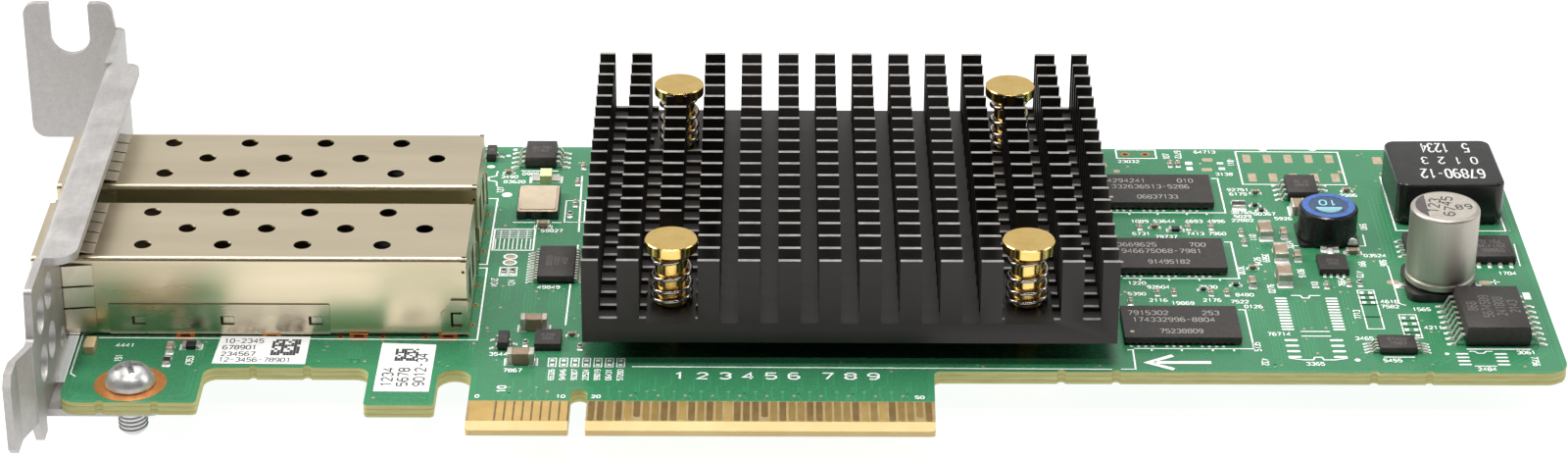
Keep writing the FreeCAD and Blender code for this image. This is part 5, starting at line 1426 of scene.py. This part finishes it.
b = mm_box("capacitor_can")
cx, cy, cz, cr = (b[0] + b[3]) / 2, (b[1] + b[4]) / 2, b[5], (b[3] - b[0]) / 2
g = Geo()
g.m = 0
g.disc(cx, cy, cr - 0.50, cz - 0.03, cz + 0.008, 56, 0.005)
g.m = 1
seg = [(cx + (cr - 0.52) * math.cos(math.radians(a)), cy + (cr - 0.52) * math.sin(math.radians(a)))
       for a in range(128, 236, 6)]
g.prism(seg, cz - 0.02, cz + 0.014)
g.m = 2
for txt, tx, ty in (("123", cx - 1.35, cy + 0.10), ("45", cx + 0.25, cy + 1.25), ("67", cx + 0.25, cy - 1.35)):
    g.digits(txt, tx, ty, 1.20, 78, 0.19, z=(cz, cz + 0.018), wide=0.72, gap=1.45)
g.digits("89", cx + 2.05, cy - 0.20, 1.10, 8, 0.17, z=(cz, cz + 0.018), wide=0.62, gap=1.6)
piece("can_top_print", g, ["can_top", "dark_sector", "ink"])

# ------------------------------------------------------------------ labels
g = Geo()
b = mm_box("long_label")
z = (b[5] - 0.02, b[5] + 0.010)
for i, t in enumerate(["10-2345", "678901", "234567"]):
    g.digits(t, b[0] + 0.75 + 0.325 * len(t), b[4] - 1.15 - 1.50 * i, 0.90, 0.6, 0.135, z=z, wide=0.52, gap=1.40)
g.digits("12-3456-78901", b[0] + 4.70, b[1] + 0.95, 0.90, -0.6, 0.135, z=z, wide=0.50, gap=1.40)


def block(geo, x0, y0, x1, y1, n, m, z):
    """A plain pattern of dark blocks: steps of a checker, nothing encoded."""
    dx, dy = (x1 - x0) / n, (y1 - y0) / m
    for i in range(n):
        for j in range(m):
            edge = i in (0, n - 1) or j in (0, m - 1)
            if edge or (i * 3 + j * 5 + i * j) % 4 in (0, 1):
                if edge and (i + j) % 5 == 3:
                    continue
                geo.box(x0 + i * dx, x0 + (i + 0.94) * dx, y0 + j * dy, y0 + (j + 0.94) * dy, *z)


block(g, b[3] - 4.15, b[4] - 4.45, b[3] - 0.95, b[4] - 0.75, 9, 9, z)
b = mm_box("square_label")
z = (b[5] - 0.02, b[5] + 0.010)
block(g, b[0] + 1.75, b[4] - 4.15, b[0] + 4.35, b[4] - 1.35, 8, 8, z)
for t, x in (("1234", b[0] + 1.30), ("5678", b[0] + 3.05), ("9012-34", b[0] + 4.85)):
    g.digits(t, x, b[1] + 1.05 + 0.555 * len(t), 1.15, 90, 0.20, z=z, wide=0.68, gap=1.38)
piece("label_print", g, "ink")

# ------------------------------------------ springs: round wire, ground ends
g = Geo()
for b in islands("pin_springs"):
    x, y = (b[0] + b[3]) / 2, (b[1] + b[4]) / 2
    r, R = 0.25, 2.42 - 0.25
    z0, z1 = b[2] + r, b[5] - r
    rise = [0.0, 0.179, 0.371, 0.648, 1.0]
    path = []
    for k in range(4 * 40 + 1):
        u = k / 40
        q = min(int(u), 3)
        f = rise[q] + (rise[q + 1] - rise[q]) * (u - q)
        a = 2 * math.pi * u
        path.append((x + R * math.cos(a), y + R * math.sin(a), z0 + (z1 - z0) * f))
    g.tube(path, r, 16)
piece("spring_coils", g, "spring", smooth=60)
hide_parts("pin_springs")

# --------------------------------------------- thread on the bracket screws
g = Geo()
for b in islands("bracket_screws"):
    x, y = (b[0] + b[3]) / 2, (b[1] + b[4]) / 2
    zlo, zhi = b[2] + 0.42, -0.95
    pitch = 0.50
    n = 28
    rings = []
    steps = int((zhi - zlo) / pitch * n)
    for k in range(steps + 1):
        a = 2 * math.pi * k / n
        zc = zlo + pitch * k / n
        fade = min(1.0, k / 10, (steps - k) / 10)
        prof = [(1.44, -0.20), (1.50 + 0.15 * fade, -0.03), (1.50 + 0.15 * fade, 0.03), (1.44, 0.20)]
        rings.append([(x + rr * math.cos(a), y + rr * math.sin(a), zc + dz) for rr, dz in prof])
    g.loft([q[::-1] for q in rings])
piece("screw_threads", g, "dark_steel", smooth=35)

# ------------------------------------------------------- cage sheet details
g = Geo()
dark = Geo()
barb = Geo()
for tag in "ab":
    cb = mm_box("cage_cover_" + tag)
    y0, y1 = cb[1], cb[4]
    for s, ys in ((-1, y0), (1, y1)):
        ya, yb = (ys - 0.34, ys - 0.02) if s < 0 else (ys + 0.02, ys + 0.34)

        def plate(out, z_pts):
            """Upright sheet parallel to the cage side from an x-z outline."""
            ring0 = [(px, ya, pz) for px, pz in z_pts]
            ring1 = [(px, yb, pz) for px, pz in z_pts]
            out.loft([ring0, ring1] if False else [ring1, ring0])

        # rear latch: a chamfered plate with a window, made of four bars
        x0, x1, z0, z1 = -16.15, -12.95, 1.95, 6.25
        wx0, wx1, wz0, wz1 = -15.0, -13.72, 2.90, 4.75
        plate(g, [(x0, z0), (wx0, z0), (wx0, z1 - 0.35), (x0 + 0.55, z1 - 1.15), (x0, z1 - 1.75)])
        plate(g, [(wx1, z0), (x1, z0), (x1, z1 - 0.20), (x1 - 0.12, z1), (wx1, z1)])
        plate(g, [(wx0, z0), (wx1, z0), (wx1, wz0), (wx0, wz0)])
        plate(g, [(wx0, wz1), (wx1, wz1), (wx1, z1), (wx0 + 0.05, z1), (wx0, z1 - 0.35)])
        # barbs that fill the windows of latch and flange
        lo, hi = (ys + 0.06, ys + 0.30) if s < 0 else (ys - 0.30, ys - 0.06)
        barb.box(wx0 + 0.22, wx1 - 0.02, lo, hi, wz0 + 0.05, wz1 - 0.45, 0.04)
        for xw in (-50.25, -40.25, -30.3):
            barb.box(xw - 0.50, xw + 0.70, lo, hi, 3.05, 3.90, 0.04)
    # seams of the folded rear corner
    for ys in (y0 - 0.012, y1 + 0.004):
        dark.box(-13.62, -13.30, ys, ys + 0.008, 9.55, 9.85)
        dark.box(-13.70, -13.11, ys, ys + 0.008, 10.95, 11.10)
    dark.box(-13.62, -13.11, y0 + 0.25, y0 + 0.55, 11.395, 11.408)
    dark.box(-13.62, -13.11, y1 - 0.55, y1 - 0.25, 11.395, 11.408)
piece("cage_latches", g, "nickel_base")
piece("cage_barbs", barb, "spring_sheet")
piece("cage_corner_seams", dark, "via_hole")

# ---------------------------------------------------- the underside of the card
back = Geo()
BZ = (-0.026, -0.006)
vb, sb, pb = Geo(), Geo(), Geo()
rb = random.Random(77)


def under(x, y, m=0.9):
    return inside(x, y) and not (-55 < x < -44 and (5.5 < y < 13.2 or 57 < y < 65))


for i in range(520):
    x, y = rb.uniform(-56.0, 109.5), rb.uniform(6.2, 68.0)
    if not under(x, y):
        continue
    if i % 2:
        vb.disc(x, y, 0.27, -0.030, -0.006, 10)
    else:
        pb.disc(x, y, 0.20, -0.032, -0.006, 9)
for i in range(150):
    x, y = rb.uniform(-54, 106), rb.uniform(7, 66)
    ln, d = rb.uniform(3, 12), rb.choice(((1, 0), (0, 1), (1, 0), (0, 1)))
    q = [(x, y), (x + d[0] * ln, y + d[1] * ln)]
    tx, ty = rb.choice((2.5, -2.5)), rb.choice((2.5, -2.5))
    e = (q[1][0] + d[0] * 1.5 - d[1] * tx, q[1][1] + d[1] * 1.5 + d[0] * ty * (1 if abs(d[0] * d[1]) < 0.1 else tx * ty / abs(tx * ty)))
    if all(under(*p) for p in q + [e]) and not any(-55 < (p[0] + q[0][0]) / 2 < -44 for p in q):
        for k in range(rb.choice((1, 2, 3, 4))):
            back.ribbon(par(q + [e], k * 0.42), 0.17, *BZ)
BACK_PARTS = []
for i in range(70):
    x, y = rb.uniform(-42, 104), rb.uniform(15, 65)
    if 14 < x < 46 and 26 < y < 56:
        x, y = 15 + 3.0 * (i % 10), 27 + 4.2 * (i // 10)
    if not under(x, y) or any(abs(x - a) < 3.2 and abs(y - c) < 2.4 for a, c in BACK_PARTS):
        continue
    BACK_PARTS.append((x, y))
    for s in (-1, 1):
        sb_x = x + s * 0.62
        pb.rbox(sb_x - 0.34, sb_x + 0.34, y - 0.42, y + 0.42, -0.036, -0.006, 0.08, 0, n=2)
    sb.ribbon([(x - 1.25, y - 0.72), (x + 1.25, y - 0.72), (x + 1.25, y + 0.72), (x - 1.25, y + 0.72)], 0.16,
              -0.034, -0.008, True)
    sb.digits(number(4), x, y - 1.45, 0.75, 0, 0.13, z=(-0.034, -0.008), wide=0.5, down=True)
cc = mm_box("controller_chip")
for i in range(22):                       # via field under the controller
    for j in range(22):
        x = cc[0] + (i + 0.5) * (cc[3] - cc[0]) / 22
        y = cc[1] + (j + 0.5) * (cc[4] - cc[1]) / 22
        if (i * 7 + j * 3) % 5 < 3:
            vb.disc(x, y, 0.24, -0.030, -0.006, 8)
sb.ribbon([(cc[0] - 0.8, cc[1] - 0.8), (cc[3] + 0.8, cc[1] - 0.8), (cc[3] + 0.8, cc[4] + 0.8), (cc[0] - 0.8, cc[4] + 0.8)],
          0.2, -0.034, -0.008, True)
for b in islands("push_pins"):
    x, y = (b[0] + b[3]) / 2, (b[1] + b[4]) / 2
    sb.ring(x, y, 3.4, 3.6, -0.034, -0.008, 40)
sb.digits("0123456789", 78.0, 10.9 + 3.2, 1.4, 0, 0.22, z=(-0.034, -0.008), wide=0.6, gap=1.6, down=True)
for b in islands("choke_pins"):
    x, y = (b[0] + b[3]) / 2, (b[1] + b[4]) / 2
    pb.ring(x, y, 0.42, 1.0, -0.038, -0.004, 24)
    pb.revolve([(0.02, -0.85), (0.42, -0.75), (0.60, -0.30), (0.95, -0.02)][::1], x, y, 20)
piece("back_traces", back, "trace")
piece("back_vias", vb, "trace")
piece("back_pads", pb, "pad_tin")
piece("back_print", sb, "silk")
